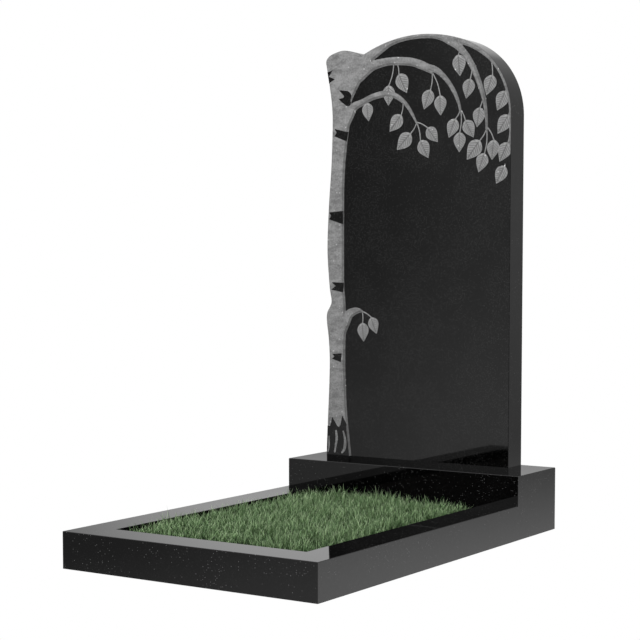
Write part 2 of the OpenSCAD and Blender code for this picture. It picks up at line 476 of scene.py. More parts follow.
@dataclass(frozen=True)
class Drawing:
    """The headstone's front: sizes in millimetres, and its place in the row frame in metres."""

    foot_x: float
    base_z: float
    face_y: float
    stone_w: float
    stone_h: float
    stone_t: float
    relief: float
    head_w: float = 103.0
    drawn_w: float = 419.5
    drawn_crest: float = 168.5
    notch_drop: float = 42.0
    shoulder_r: float = 197.0

    @property
    def stretch(self) -> float:
        """How much wider the crown is than it was drawn."""
        return (self.stone_w - self.head_w) / self.drawn_w

    @property
    def crest_x(self) -> float:
        """Place of the crest along the front."""
        return self.head_w + self.drawn_crest * self.stretch

    @property
    def top_r(self) -> float:
        """Radius of the top curve."""
        return ((self.crest_x - self.head_w) ** 2 + self.notch_drop**2) / (2 * self.notch_drop)

    @property
    def shoulder(self) -> tuple[float, float]:
        """Centre of the right shoulder."""
        x = self.stone_w - self.shoulder_r
        reach = (self.top_r - self.shoulder_r) ** 2 - (x - self.crest_x) ** 2
        return x, self.stone_h - self.top_r + math.sqrt(reach)

    def crown(self, stations: list[Station]) -> list[Station]:
        """Turns stations given as [x, drop below the crest, ...] into [x, height, ...]."""
        return [[x if x <= self.head_w else self.head_w + (x - self.head_w) * self.stretch,
                 self.stone_h - drop, *rest] for x, drop, *rest in stations]

    def past_side(self, points: np.ndarray, inset: float) -> np.ndarray:
        """How far places lie past the slab's right side.

        Args:
            points: distances from the trunk's foot and heights, one place a row.
            inset: how far inside the side is still past it.

        Returns:
            A distance for each place, never below zero.
        """
        x, z = self.shoulder
        reach = self.shoulder_r - inset
        rise = np.clip(points[:, 1] - z, 0, reach * 0.95)
        return np.maximum(points[:, 0] - x - np.sqrt(reach**2 - rise**2), 0)

    def place(self, x: np.ndarray, z: np.ndarray, proud: np.ndarray) -> np.ndarray:
        """Puts places of the drawing in the row frame.

        Args:
            x: distance from the trunk's foot.
            z: height above the plinth.
            proud: height over the slab's face.

        Returns:
            One row of three coordinates for each place.
        """
        x, z, proud = np.broadcast_arrays(x, z, proud)
        return np.stack([self.foot_x + x * MM, self.face_y - proud * MM, self.base_z + z * MM],
                        axis=-1)


def smooth(stations: list[Station], steps: int = 4) -> np.ndarray:
    """Runs a smooth curve through stations.

    Args:
        stations: places, each of which may carry a width.
        steps: steps from one station to the next.

    Returns:
        The curve's points, one a row.
    """
    points = np.array(stations, float)
    ends = np.vstack([points[:1], points, points[-1:]])
    t = (np.arange(steps) / steps)[:, None]
    runs = [0.5 * (2 * b + (c - a) * t + (2 * a - 5 * b + 4 * c - d) * t**2
                   + (3 * b - a - 3 * c + d) * t**3)
            for a, b, c, d in zip(ends, ends[1:], ends[2:], ends[3:])]
    return np.vstack([*runs, points[-1:]])


def arc(centre: tuple[float, float], radius: float, start: float, end: float,
        steps: int) -> np.ndarray:
    """Points along an arc from one angle to another, in degrees."""
    angle = np.radians(np.linspace(start, end, steps + 1))
    return np.stack([centre[0] + radius * np.cos(angle), centre[1] + radius * np.sin(angle)],
                    axis=-1)


# How far the drawn shapes run below the foot, so that the carving ends square on the plinth
UNDER = -30.0

LEFT_LOW = [[0, 0], [4, 100], [8, 190], [9, 250], [6, 300], [0.5, 342], [1, 365], [10, 382],
            [14.5, 397], [9, 430], [3, 500]]
LEFT_HIGH = [[2, 504], [7, 404], [14, 314], [17.5, 214], [16, 164], [9, 114], [0, 64]]
HEAD_TOP = [[-2, 52], [0, 43], [10, 34], [30, 27], [50, 24], [70, 27], [90, 33], [98, 38],
            [104, 43]]
RIGHT_LOW = [[75, 0], [69, 50], [63, 100], [59, 160], [56, 250], [58, 325], [57, 385],
             [53, 430], [52, 500]]
RIGHT_HIGH = [[52, 404], [53, 354], [56, 304], [62, 254], [68, 214], [72, 180], [72, 158],
              [104, 100]]
CROTCH = [[72, 158], [77, 139], [87, 122], [103, 104], [121, 89], [137, 79]]
CROTCH_FILL = [[140, 0], [60, 0], [50, 150]]

# Boughs of the crown: [x, drop below the crest, width]
LOWEST_BOUGH = [[50, 215, 30], [64, 187, 34], [82, 167, 22], [105, 158, 16.5], [135, 146, 15.5],
                [165, 140, 16], [185, 140, 15], [205, 147, 13], [225, 160, 11], [240, 176, 9],
                [255, 199, 6.5], [265, 217, 4]]
MIDDLE_BOUGH = [[100, 90, 30], [120, 76, 28], [140, 67, 24], [175, 61, 20], [205, 61, 20],
                [245, 65, 20], [275, 74, 20], [295, 82, 17], [315, 88, 15], [335, 102, 13],
                [355, 124, 11], [370, 147, 10], [382, 174, 7.5], [387, 194, 5.5]]
SIDE_TWIG = [[268, 74, 14], [290, 86, 11], [307, 96, 6]]
UPPER_BOUGH = [[118, 50, 34], [139, 38, 27], [155, 30, 24], [175, 21, 18], [190, 15, 15],
               [215, 9, 13], [245, 5, 13], [275, 4, 13], [295, 5, 13], [315, 7, 14],
               [335, 12, 17], [355, 20, 22], [375, 33, 19], [388, 45, 17], [405, 65, 16],
               [421, 91, 15], [436, 124, 13], [447, 154, 11.5], [454, 184, 9], [457.5, 214, 7],
               [458.5, 242, 5.5]]
# The outer bough hugs the shoulder: [angle round it, width], and then where it ends
OUTER_BOUGH = [[78, 13], [66, 11], [54, 9], [42, 6], [30, 5], [20, 5], [10, 4], [0, 3.5]]
OUTER_END = 279
# The small bough on the burr: [x, height above the foot, width]
LOW_BOUGH = [[50, 316, 17], [59, 345, 25], [68, 362.5, 24], [79, 369, 20], [88, 372, 17],
             [97, 372.8, 12], [103, 372, 8], [108, 370.5, 4]]

# Leaves of the crown: where the stalk leaves the bough, base and tip, as [x, drop]
CROWN_LEAVES = [
    [[119, 150], [120, 159], [125, 205]], [[198, 66], [184, 119], [183, 169]],
    [[205, 60], [213, 93], [236, 141]], [[225, 160], [220, 194], [187, 234]],
    [[264, 216], [247, 241], [208, 280]], [[264, 214], [275, 259], [298, 303]],
    [[264, 214], [295, 229], [324, 265]], [[307, 94], [303, 137], [285, 184]],
    [[307, 94], [330, 152], [332, 201]], [[386, 190], [373, 211], [355, 256]],
    [[387, 190], [400, 216], [423, 258]], [[387, 190], [385, 244], [384, 292]],
    [[384, 38], [380, 57], [385, 109]], [[416, 84], [413, 117], [402, 164]],
    [[448, 158], [440, 187], [432, 234]], [[458, 238], [440, 266], [405, 311]],
    [[458, 238], [453, 297], [437, 342]], [[457, 232], [478, 266], [473, 314]],
    [[462, 56], [473, 112], [457, 159]], [[511, 120], [508, 152], [486, 197]],
    [[520, 180], [517, 209], [488, 252]], [[521, 250], [517, 274], [495, 319]],
    [[508, 324], [507, 329], [485, 371]],
]
# Leaves of the small bough, as [x, height]
LOW_LEAVES = [[[107, 371], [108, 342], [112, 294]], [[106, 371], [134, 356], [150, 315]]]

# Knots cut into the bark: two drawn ones, and swallow-tailed ones in the rows of KnotCut
EDGE_KNOT = [[-4, 78], [20, 71], [8, 87], [26, 95], [10, 103], [-4, 106]]
CROTCH_KNOT = [[38, 123], [52, 124.5], [63, 126], [71, 130], [76, 138], [73, 148], [70, 164],
               [61, 164], [45, 153], [37, 145], [50, 143], [54, 139]]
# Where the bark ends in teeth above the roots
BARK_TEETH = [[-4, 76], [5, 74], [12, 74], [18.5, 98], [33, 76], [38, 72], [43, 77], [49, 103],
              [62, 81]]
# Roots that stay proud between the cuts: [x, height above the foot, width]
ROOTS = [
    [[8, 47, 3], [8.5, 30, 4], [8, 18, 4], [5, 7, 3]],
    [[30, 62, 5], [32, 45, 7], [30, 28, 6], [26, 8, 5]],
    [[52, 62, 4], [57, 45, 6], [58, 30, 8], [55, 15, 7], [48, 7, 5]],
]


@dataclass(frozen=True)
class KnotCut:
    """A swallow-tailed knot: its left tips and notch, and a right side that hangs and leans."""

    left: float
    z: float
    tips: float
    notch: float
    right: float
    hang: float
    tall: float
    lean: float

    def outline(self) -> list[Station]:
        """The knot's corners."""
        low, high = self.z - self.hang - self.tall, self.z - self.hang + self.tall
        return [[self.left, self.z + self.tips], [self.right, high],
                [self.right - self.lean, low], [self.left, self.z - self.tips],
                [self.left + self.notch, self.z]]


@dataclass(frozen=True)
class Birch:
    """The outlines of the carving, in the drawing's millimetres."""

    drawing: Drawing
    rim: float = 2.0
    root_rim: float = 5.0
    leaf_half: float = 0.34
    nudge: float = 3.5
    side_gap: float = 1.0

    def trunk(self) -> np.ndarray:
        """The trunk with its head, run on below the foot."""
        crown = self.drawing.crown
        left = smooth(LEFT_LOW + crown(LEFT_HIGH) + crown(HEAD_TOP))
        right = smooth(RIGHT_LOW + crown(RIGHT_HIGH))
        return np.vstack([[[0, UNDER]], left, right[::-1], [[78, UNDER]]])

    def crotch(self) -> np.ndarray:
        """The mass between the trunk's head and the boughs."""
        crown = self.drawing.crown
        return np.vstack([smooth(crown(CROTCH)), crown(CROTCH_FILL)])

    def boughs(self) -> list[np.ndarray]:
        """The courses of the boughs, each row a place and a width."""
        crown, (x, z) = self.drawing.crown, self.drawing.shoulder
        outer = []
        for angle, width in OUTER_BOUGH:
            reach, turn = self.drawing.shoulder_r - width / 2, math.radians(angle)
            outer.append([x + reach * math.cos(turn), z + reach * math.sin(turn), width + 1])
        outer.append([self.drawing.stone_w - 1.5, self.drawing.stone_h - OUTER_END, 3])
        drawn = [LOWEST_BOUGH, MIDDLE_BOUGH, SIDE_TWIG, UPPER_BOUGH]
        return [smooth(s) for s in [*(crown(b) for b in drawn), outer, LOW_BOUGH]]

    def stone(self) -> np.ndarray:
        """The slab's outline, from the foot's left corner to the right and round."""
        d = self.drawing
        top = (d.crest_x, d.stone_h - d.top_r)
        notch = math.degrees(math.asin((d.crest_x - d.head_w) / d.top_r)) + 90
        lean = math.degrees(math.acos((d.shoulder[0] - d.crest_x) / (d.top_r - d.shoulder_r)))
        left = smooth(LEFT_LOW + d.crown(LEFT_HIGH) + d.crown(HEAD_TOP[:-1]))
        return np.vstack([
            [[0, 0], [d.stone_w, 0]],
            arc(d.shoulder, d.shoulder_r, 0, lean, 48),
            arc(top, d.top_r, lean, notch, 60)[1:],
            left[:0:-1],
        ])

    def leaves(self) -> list[np.ndarray]:
        """Each leaf's stem, base and tip, those at the right side moved in a little."""
        leaves = [np.array(leaf, float)
                  for leaf in [*(self.drawing.crown(c) for c in CROWN_LEAVES), *LOW_LEAVES]]
        t = np.linspace(0, 1, 12)[:, None]
        for leaf in leaves:
            run = leaf[2] - leaf[1]
            wide = np.array([-run[1], run[0]]) * self.leaf_half * np.sin(np.pi * t)
            rim = np.vstack([leaf[1] + run * t + wide, leaf[1] + run * t - wide])
            leaf[:, 0] -= min(self.drawing.past_side(rim, self.side_gap).max(), self.nudge)
        return leaves

    def knots(self) -> list[np.ndarray]:
        """The corners of every knot."""
        h, rim = self.drawing.stone_h, self.rim
        rows = [KnotCut(24, h - 229, 9.5, 7, 66 - rim, 12, 11.5, 4),
                KnotCut(8, h - 440, 9, 6, 52 - rim, 5, 17, 0),
                KnotCut(15, 435, 9.5, 13, 53 - rim, 4, 12.5, 0),
                KnotCut(17, 254, 6.5, 8, 47, 3, 11.5, 2)]
        drawn = [self.drawing.crown(EDGE_KNOT), self.drawing.crown(CROTCH_KNOT)]
        return [np.array(k, float) for k in [*drawn, *(row.outline() for row in rows)]]

    def root_cut(self) -> np.ndarray:
        """The ground between the roots, from the bark's teeth down past the foot."""
        right = [[x - self.root_rim, z] for x, z in smooth(RIGHT_LOW) if z < 80]
        return np.array([*BARK_TEETH, *right[::-1], [75 - self.root_rim, UNDER], [-8, UNDER],
                         [-8, 76]], float)

    def roots(self) -> list[np.ndarray]:
        """The courses of the roots."""
        return [smooth(root) for root in ROOTS]


# ---------------------------------------------------------------- carving


def to_segment(a: np.ndarray, b: np.ndarray, x: np.ndarray,
               z: np.ndarray) -> tuple[np.ndarray, np.ndarray]:
    """Measures places against a segment.

    Args:
        a: its start.
        b: its end.
        x: the places' first coordinate.
        z: their second.

    Returns:
        The distance of each, and how far along the segment its nearest point lies.
    """
    run = b[:2] - a[:2]
    length = max(float(run @ run), 1e-9)
    share = np.clip(((x - a[0]) * run[0] + (z - a[1]) * run[1]) / length, 0, 1)
    return np.hypot(x - a[0] - share * run[0], z - a[1] - share * run[1]), share


def polygon_depth(outline: np.ndarray, x: np.ndarray, z: np.ndarray) -> np.ndarray:
    """How far places lie inside a closed outline, less than zero outside it."""
    gap = np.full(x.shape, np.inf)
    inside = np.zeros(x.shape, bool)
    for a, b in zip(outline, np.roll(outline, -1, axis=0)):
        np.minimum(gap, to_segment(a, b, x, z)[0], out=gap)
        if a[1] != b[1]:
            crossed = (a[1] > z) != (b[1] > z)
            inside ^= crossed & (x < a[0] + (b[0] - a[0]) * (z - a[1]) / (b[1] - a[1]))
    return np.where(inside, gap, -gap)


def ribbon_depth(course: np.ndarray, x: np.ndarray, z: np.ndarray) -> np.ndarray:
    """How far places lie inside a ribbon whose width changes along its course."""
    depth = np.full(x.shape, -np.inf)
    for a, b in zip(course, course[1:]):
        gap, share = to_segment(a, b, x, z)
        np.maximum(depth, (a[2] + (b[2] - a[2]) * share) / 2 - gap, out=depth)
    return depth


def blended(first: np.ndarray, second: np.ndarray, reach: float) -> np.ndarray:
    """The larger of two depths, with a fillet where they cross."""
    near = np.maximum(reach - np.abs(first - second), 0) / reach
    return np.maximum(first, second) + near**2 * reach / 4


def value_noise(x: np.ndarray, z: np.ndarray, cell: tuple[float, float],
                seed: int) -> np.ndarray:
    """Smooth noise from 0 to 1 on cells of a given size."""
    table = np.random.default_rng(seed).random((256, 256))
    u, v = x / cell[0], z / cell[1]
    i, j = np.floor(u).astype(int), np.floor(v).astype(int)
    f, g = u - i, v - j
    f, g = f * f * (3 - 2 * f), g * g * (3 - 2 * g)
    i0, j0, i1, j1 = i & 255, j & 255, (i + 1) & 255, (j + 1) & 255
    low = table[i0, j0] * (1 - f) + table[i1, j0] * f
    high = table[i0, j1] * (1 - f) + table[i1, j1] * f
    return low * (1 - g) + high * g


@dataclass
class Field:
    """Depth inside carved shapes, on an even grid over part of the drawing."""

    low: tuple[float, float]
    high: tuple[float, float]
    step: float
    far: float = -12.0
    x: np.ndarray = field(init=False)
    z: np.ndarray = field(init=False)
    depth: np.ndarray = field(init=False)

    def __post_init__(self) -> None:
        """Lays out the grid."""
        self.x, self.z = np.meshgrid(np.arange(self.low[0], self.high[0], self.step),
                                     np.arange(self.low[1], self.high[1], self.step))
        self.depth = np.full(self.x.shape, self.far)

    def window(self, points: np.ndarray, margin: float = 12.0) -> tuple[slice, slice]:
        """The part of the grid around some points."""
        low = (points[:, :2].min(0) - margin - self.low) / self.step
        high = (points[:, :2].max(0) + margin - self.low) / self.step
        (i0, j0), (i1, j1) = np.maximum(low, 0).astype(int), np.maximum(high, 0).astype(int)
        return slice(j0, j1 + 2), slice(i0, i1 + 2)

    def join(self, points: np.ndarray, reach: float) -> None:
        """Adds a ribbon, whose rows have a width, or a closed outline.

        Args:
            points: its rows.
            reach: size of the fillet where it meets what is there.
        """
        part = self.window(points)
        measure = ribbon_depth if points.shape[1] == 3 else polygon_depth
        shape = measure(points, self.x[part], self.z[part])
        self.depth[part] = blended(self.depth[part], shape, reach)

    def keep_inside(self, outline: np.ndarray, inset: float) -> None:
        """Trims the shapes to an outline, less an inset."""
        near = self.depth > -3
        limit = polygon_depth(outline, self.x[near], self.z[near]) - inset
        self.depth[near] = np.minimum(self.depth[near], limit)

    def cut(self, hole: np.ndarray, part: tuple[slice, slice]) -> None:
        """Takes a hole, given by its own depth, out of the shapes."""
        self.depth[part] = np.minimum(self.depth[part], -hole)


@dataclass
class CarvedSheet:
    """Closed mesh of a carving: its worked top, upright walls and a flat back in the slab."""

    sheet: Field
    contour: np.ndarray
    proud: np.ndarray
    shade_paint: np.ndarray
    sunk: float
    points: list[tuple[float, float, float, float]] = field(default_factory=list)
    faces: list[list[int]] = field(default_factory=list)
    rim: list[tuple[int, int]] = field(default_factory=list)

    def build(self, name: str, drawing: Drawing) -> bpy.types.Object:
        """Makes the mesh.

        Args:
            name: the piece's name.
            drawing: where the drawing stands.

        Returns:
            The new object.
        """
        snap = 0.2 * self.sheet.step
        near = np.abs(self.contour) < snap
        self.contour = np.where(near, np.where(self.contour < 0, -snap, snap), self.contour)
        self.top()
        self.walls_and_back()
        x, z, proud, shade_paint = np.array(self.points).T
        made = new_object(name, drawing.place(x, z, proud), self.faces)
        # Each point also carries its painted shade, by which the bark's material darkens its
        # colour.
        set_values(made, "groove", shade_paint.astype(np.float32))
        return made

    def top(self) -> None:
        """Lays the grid's whole cells as squares, and cuts the others along the contour."""
        inside = self.contour > 0
        number = np.full(inside.shape, -1)
        number[inside] = np.arange(int(inside.sum()))
        grid = self.sheet
        self.points = list(zip(grid.x[inside], grid.z[inside], self.proud[inside],
                               self.shade_paint[inside]))
        corners = [number[:-1, :-1], number[:-1, 1:], number[1:, 1:], number[1:, :-1]]
        count = sum((c >= 0).astype(int) for c in corners)
        whole = count == 4
        self.faces = np.stack([c[whole] for c in corners], axis=1).tolist()
        crossings: dict[tuple[int, int, int, int], int] = {}
        for j, i in zip(*np.nonzero((count > 0) & ~whole)):
            self.cell(int(j), int(i), number, crossings)

    def crossing(self, p: tuple[int, int], q: tuple[int, int],
                 crossings: dict[tuple[int, int, int, int], int]) -> int:
        """Index of the point where the contour crosses one side of a cell."""
        key = (*min(p, q), *max(p, q))
        if key not in crossings:
            share = self.contour[p] / (self.contour[p] - self.contour[q])
            grids = (self.sheet.x, self.sheet.z, self.proud, self.shade_paint)
            crossings[key] = len(self.points)
            self.points.append(tuple(float(g[p] + (g[q] - g[p]) * share) for g in grids))
        return crossings[key]

    def cell(self, j: int, i: int, number: np.ndarray,
             crossings: dict[tuple[int, int, int, int], int]) -> None:
        """Fills the part of one cell that lies inside the contour.

        Args:
            j: the cell's row.
            i: its column.
            number: point index of each grid place, or -1 outside.
            crossings: points already made on the cells' sides.
        """
        ring = [(j, i), (j, i + 1), (j + 1, i + 1), (j + 1, i)]
        walk: list[tuple[int, str]] = []
        for p, q in zip(ring, ring[1:] + ring[:1]):
            if number[p] >= 0:
                walk.append((int(number[p]), "in"))
            if (number[p] >= 0) != (number[q] >= 0):
                kind = "out" if number[p] >= 0 else "back"
                walk.append((self.crossing(p, q, crossings), kind))
        start = next(k for k, (_, kind) in enumerate(walk) if kind == "back")
        walk = walk[start:] + walk[:start]
        runs: list[list[int]] = []
        for index, kind in walk:
            if kind == "back":
                runs.append([])
            runs[-1].append(index)
        if len(runs) == 2 and sum(self.contour[p] for p in ring) > 0:
            runs = [runs[0] + runs[1]]
            self.rim += [(runs[0][2], runs[0][3]), (runs[0][-1], runs[0][0])]
        else:
            self.rim += [(run[-1], run[0]) for run in runs]
        self.faces += runs

    def loops(self) -> list[list[int]]:
        """The contour's closed rings."""
        following = dict(self.rim)
        rings = []
        while following:
            start, at = following.popitem()
            ring = [start]
            while at != start:
                ring.append(at)
                at = following.pop(at)
            rings.append(ring)
        return rings

    def walls_and_back(self) -> None:
        """Drops walls from the contour and closes them behind."""
        rings = self.loops()
        behind: dict[int, int] = {}
        for index in (index for ring in rings for index in ring):
            behind[index] = len(self.points)
            x, z, _, shade_paint = self.points[index]
            self.points.append((x, z, -self.sunk, shade_paint))
        self.faces += [[b, a, behind[a], behind[b]] for a, b in self.rim]
        holes = [ring for ring in rings if self.area(ring) < 0]
        islands = sorted((ring for ring in rings if self.area(ring) > 0), key=self.area)
        for island in islands:
            group = [island, *holes] if island is islands[-1] else [island]
            self.faces += [[behind[k] for k in triangle] for triangle in self.filled(group)]

    def area(self, ring: list[int]) -> float:
        """Twice the area of a ring, less than zero for one that runs clockwise."""
        x, z = np.array([self.points[index][:2] for index in ring]).T
        return float(x @ np.roll(z, -1) - z @ np.roll(x, -1))

    def filled(self, rings: list[list[int]]) -> list[list[int]]:
        """Fills an outline, less its holes, with triangles that run clockwise.

        Args:
            rings: the outline and then its holes.

        Returns:
            The triangles' point indices.
        """
        order = [index for ring in rings for index in ring]
        # A hair's breadth of unevenness keeps straight runs from making flat triangles
        uneven = np.random.default_rng(11).uniform(-0.02, 0.02, (len(order), 2))
        flat = np.array([self.points[index][:2] for index in order]) + uneven
        ends = np.cumsum([len(ring) for ring in rings])[:-1]
        outlines = [[Vector((x, z, 0.0)) for x, z in ring] for ring in np.split(flat, ends)]
        triangles = []
        for triangle in tessellate_polygon(outlines):
            a, b, c = (flat[k] for k in triangle)
            across = (b[0] - a[0]) * (c[1] - a[1]) - (b[1] - a[1]) * (c[0] - a[0])
            turned = triangle[::-1] if across > 0 else triangle
            triangles.append([order[k] for k in turned])
        return triangles


def new_object(name: str, points: np.ndarray | list, faces: list) -> bpy.types.Object:
    """Makes a mesh object at the origin.

    Args:
        name: its name.
        points: its vertices, in metres.
        faces: its faces.

    Returns:
        The object, linked into the scene.
    """
    mesh = bpy.data.meshes.new(name)
    mesh.from_pydata([tuple(map(float, p)) for p in points], [], faces)
    mesh.validate()
    made = bpy.data.objects.new(name, mesh)
    bpy.context.scene.collection.objects.link(made)
    return made


def grid_faces(rows: int, columns: int) -> tuple[np.ndarray, list[list[int]]]:
    """Numbers the points of a grid, row by row, and lists its square faces."""
    index = np.arange(rows * columns).reshape(rows, columns)
    corners = [index[:-1, :-1], index[:-1, 1:], index[1:, 1:], index[1:, :-1]]
    return index, np.stack(corners, axis=-1).reshape(-1, 4).tolist()


def set_values(piece: bpy.types.Object, name: str, values: np.ndarray | list) -> None:
    """Stores one number for each point of a mesh, under a name."""
    made = piece.data.attributes.new(name, "FLOAT", "POINT")
    made.data.foreach_set("value", np.ravel(np.asarray(values, np.float32)))


def places_of(piece: bpy.types.Object) -> np.ndarray:
    """The points of a mesh, one a row."""
    places = np.empty(len(piece.data.vertices) * 3)
    piece.data.vertices.foreach_get("co", places)
    return places.reshape(-1, 3)


def move_points(piece: bpy.types.Object, places: np.ndarray) -> None:
    """Puts the points of a mesh in new places."""
    piece.data.vertices.foreach_set("co", places.ravel())
    piece.data.update()


def soften(piece: bpy.types.Object, angle: float) -> None:
    """Shades a piece smoothly, but for edges sharper than an angle in degrees."""
    piece.data.shade_smooth()
    piece.data.set_sharp_from_angle(angle=math.radians(angle))


def dress(piece: bpy.types.Object, material: bpy.types.Material, slot: Slot,
          *stands_for: Node) -> bpy.types.Object:
    """Gives a piece its material and its body, and hides the construction nodes that it replaces.

    Args:
        piece: the piece.
        material: its material.
        slot: the record's slot for its finish, which is not used.
        stands_for: construction nodes that it replaces.

    Returns:
        The piece.
    """
    piece.data.materials.clear()
    piece.data.materials.append(material)
    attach(piece, BODY)
    if stands_for:
        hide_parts(*(node.value for node in stands_for))
    triangles = sum(len(p.vertices) - 2 for p in piece.data.polygons)
    log.info("%s: %d triangles", piece.name, triangles)
    return piece


# ---------------------------------------------------------------- sub-assemblies


@dataclass
class Slab:
    """The polished slab behind the carving."""

    birch: Birch
    arris: float = 1.0

    def build(self, material: bpy.types.Material) -> bpy.types.Object:
        """Makes the slab.

        Args:
            material: polished stone.

        Returns:
            The slab.
        """
        outline = self.birch.stone()
        inner = self.inset(outline)
        drawing = self.birch.drawing
        back = -drawing.stone_t
        rings = [(inner, 0.0), (outline, -self.arris), (outline, back + self.arris),
                 (inner, back)]
        points = np.vstack([drawing.place(ring[:, 0], ring[:, 1], np.array(depth))
                            for ring, depth in rings])
        n = len(outline)
        faces = [list(range(n)), list(range(4 * n - 1, 3 * n - 1, -1))]
        for row in range(3):
            for k in range(n):
                a, b = row * n + k, row * n + (k + 1) % n
                faces.append([b, a, a + n, b + n])
        slab = new_object("headstone_slab", points, faces)
        soften(slab, 30)
        return dress(slab, material, Slot.CARVED, Node.HEADSTONE)

    def inset(self, outline: np.ndarray) -> np.ndarray:
        """The outline moved inwards by the arris."""
        before, after = np.roll(outline, 1, axis=0), np.roll(outline, -1, axis=0)
        first, second = outline - before, after - outline
        first /= np.linalg.norm(first, axis=1)[:, None]
        second /= np.linalg.norm(second, axis=1)[:, None]
        inwards = np.stack([-(first[:, 1] + second[:, 1]), first[:, 0] + second[:, 0]], axis=1)
        inwards /= np.maximum((inwards**2).sum(1), 1.0)[:, None] / 2
        inner = outline + inwards * self.arris
        inner[:2, 1] = 0.0
        return inner


@dataclass
class Carving:
    """The birch in relief: bark, boughs, and the polished ground of its knots and roots."""

    birch: Birch
    step: float = 1.2
    fillet: float = 3.0
    bevel: float = 4.2
    lip: float = 2.0
    inset: float = 0.3
    sunk: float = 1.5
    knot_depth: float = 2.0
    bark: tuple[tuple[tuple[float, float], float], ...] = (
        ((26.0, 17.0), 0.5), ((15.0, 4.5), 0.5), ((5.0, 4.0), 0.45))

    def build(self, bark: bpy.types.Material, ground: bpy.types.Material) -> None:
        """Makes the relief and its polished ground.

        Args:
            bark: tooled stone.
            ground: polished stone.
        """
        drawing = self.birch.drawing
        stone = self.birch.stone()
        stone[:2, 1] = UNDER
        sheet = Field((-4, -3), (drawing.stone_w + 2, drawing.stone_h + 4), self.step)
        for shape in (self.birch.trunk(), self.birch.crotch()):
            sheet.join(shape, self.fillet)
        for course in self.birch.boughs():
            sheet.join(course, self.fillet)
        sheet.keep_inside(stone, self.inset)
        whole = sheet.depth.copy()
        ground_depth = self.cut_ground(sheet)
        contour = np.minimum(sheet.depth, sheet.z)
        relief = CarvedSheet(sheet, contour, self.height(sheet, whole), self.rim_shade_paint(whole),
                             self.sunk)
        piece = relief.build("birch_relief", drawing)
        soften(piece, 50)
        dress(piece, bark, Slot.CARVED)
        piece.visible_glossy = False

        floor = np.minimum(np.minimum(ground_depth + 1.0, whole), sheet.z)
        level = np.full(floor.shape, drawing.relief - self.knot_depth)
        hollow = CarvedSheet(sheet, floor, level, np.zeros(floor.shape), self.sunk)
        piece = hollow.build("birch_knots", drawing)
        soften(piece, 40)
        dress(piece, ground, Slot.CARVED)

    def cut_ground(self, sheet: Field) -> np.ndarray:
        """Cuts the knots and the ground between the roots out of the bark.

        Args:
            sheet: the carving so far, which loses them.

        Returns:
            Depth inside the knots and the ground, roots included.
        """
        ground = np.full(sheet.depth.shape, sheet.far)
        for knot in self.birch.knots():
            part = sheet.window(knot)
            hole = polygon_depth(knot, sheet.x[part], sheet.z[part])
            ground[part] = np.maximum(ground[part], hole)
            sheet.cut(hole, part)
        cut = self.birch.root_cut()
        part = sheet.window(cut)
        hole = polygon_depth(cut, sheet.x[part], sheet.z[part])
        ground[part] = np.maximum(ground[part], hole)
        for root in self.birch.roots():
            hole = np.minimum(hole, -ribbon_depth(root, sheet.x[part], sheet.z[part]))
        sheet.cut(hole, part)
        return ground

    def rim_shade_paint(self, whole: np.ndarray) -> np.ndarray:
        """How much painted shade darkens the rims that face right and down, as if lit from the
        upper left.

        Args:
            whole: depth inside the carving before the knots were cut.

        Returns:
            The painted shade at each place, from 0 to 1.
        """
        up, right = np.gradient(whole, self.step)
        # Painted shade, as if lit from the upper left: rims that face right or down darken along
        # the bevel strip, most at its crest.
        lean = np.clip((0.6 * up - 0.8 * right) * 1.3 + 0.15, 0, 1)
        strip = np.clip((self.bevel - whole) / 1.2 + 0.5, 0, 1)
        crest = np.exp(-(((whole - self.bevel) / 1.1) ** 2))
        # Painted shade also lies in a narrow band along the left edges.
        left = np.clip(right, 0, 1) * np.clip((4.0 - whole) / 1.5, 0, 1)
        return np.clip(0.28 * lean * strip + 0.45 * lean * crest + 0.35 * left, 0, 1)

    def height(self, sheet: Field, whole: np.ndarray) -> np.ndarray:
        """Height of the relief over the slab: a bevel at the rims, and bark above it.

        Args:
            sheet: the grid.
            whole: depth inside the carving before the knots were cut.

        Returns:
            The height at each place, in millimetres.
        """
        rise = np.clip(whole / self.bevel, 0, 1)
        top = self.birch.drawing.relief
        bumps = sum(size * value_noise(sheet.x + 40, sheet.z + 40, cell, seed)
                    for seed, (cell, size) in enumerate(self.bark))
        return self.lip + (top - self.lip) * rise - bumps * rise


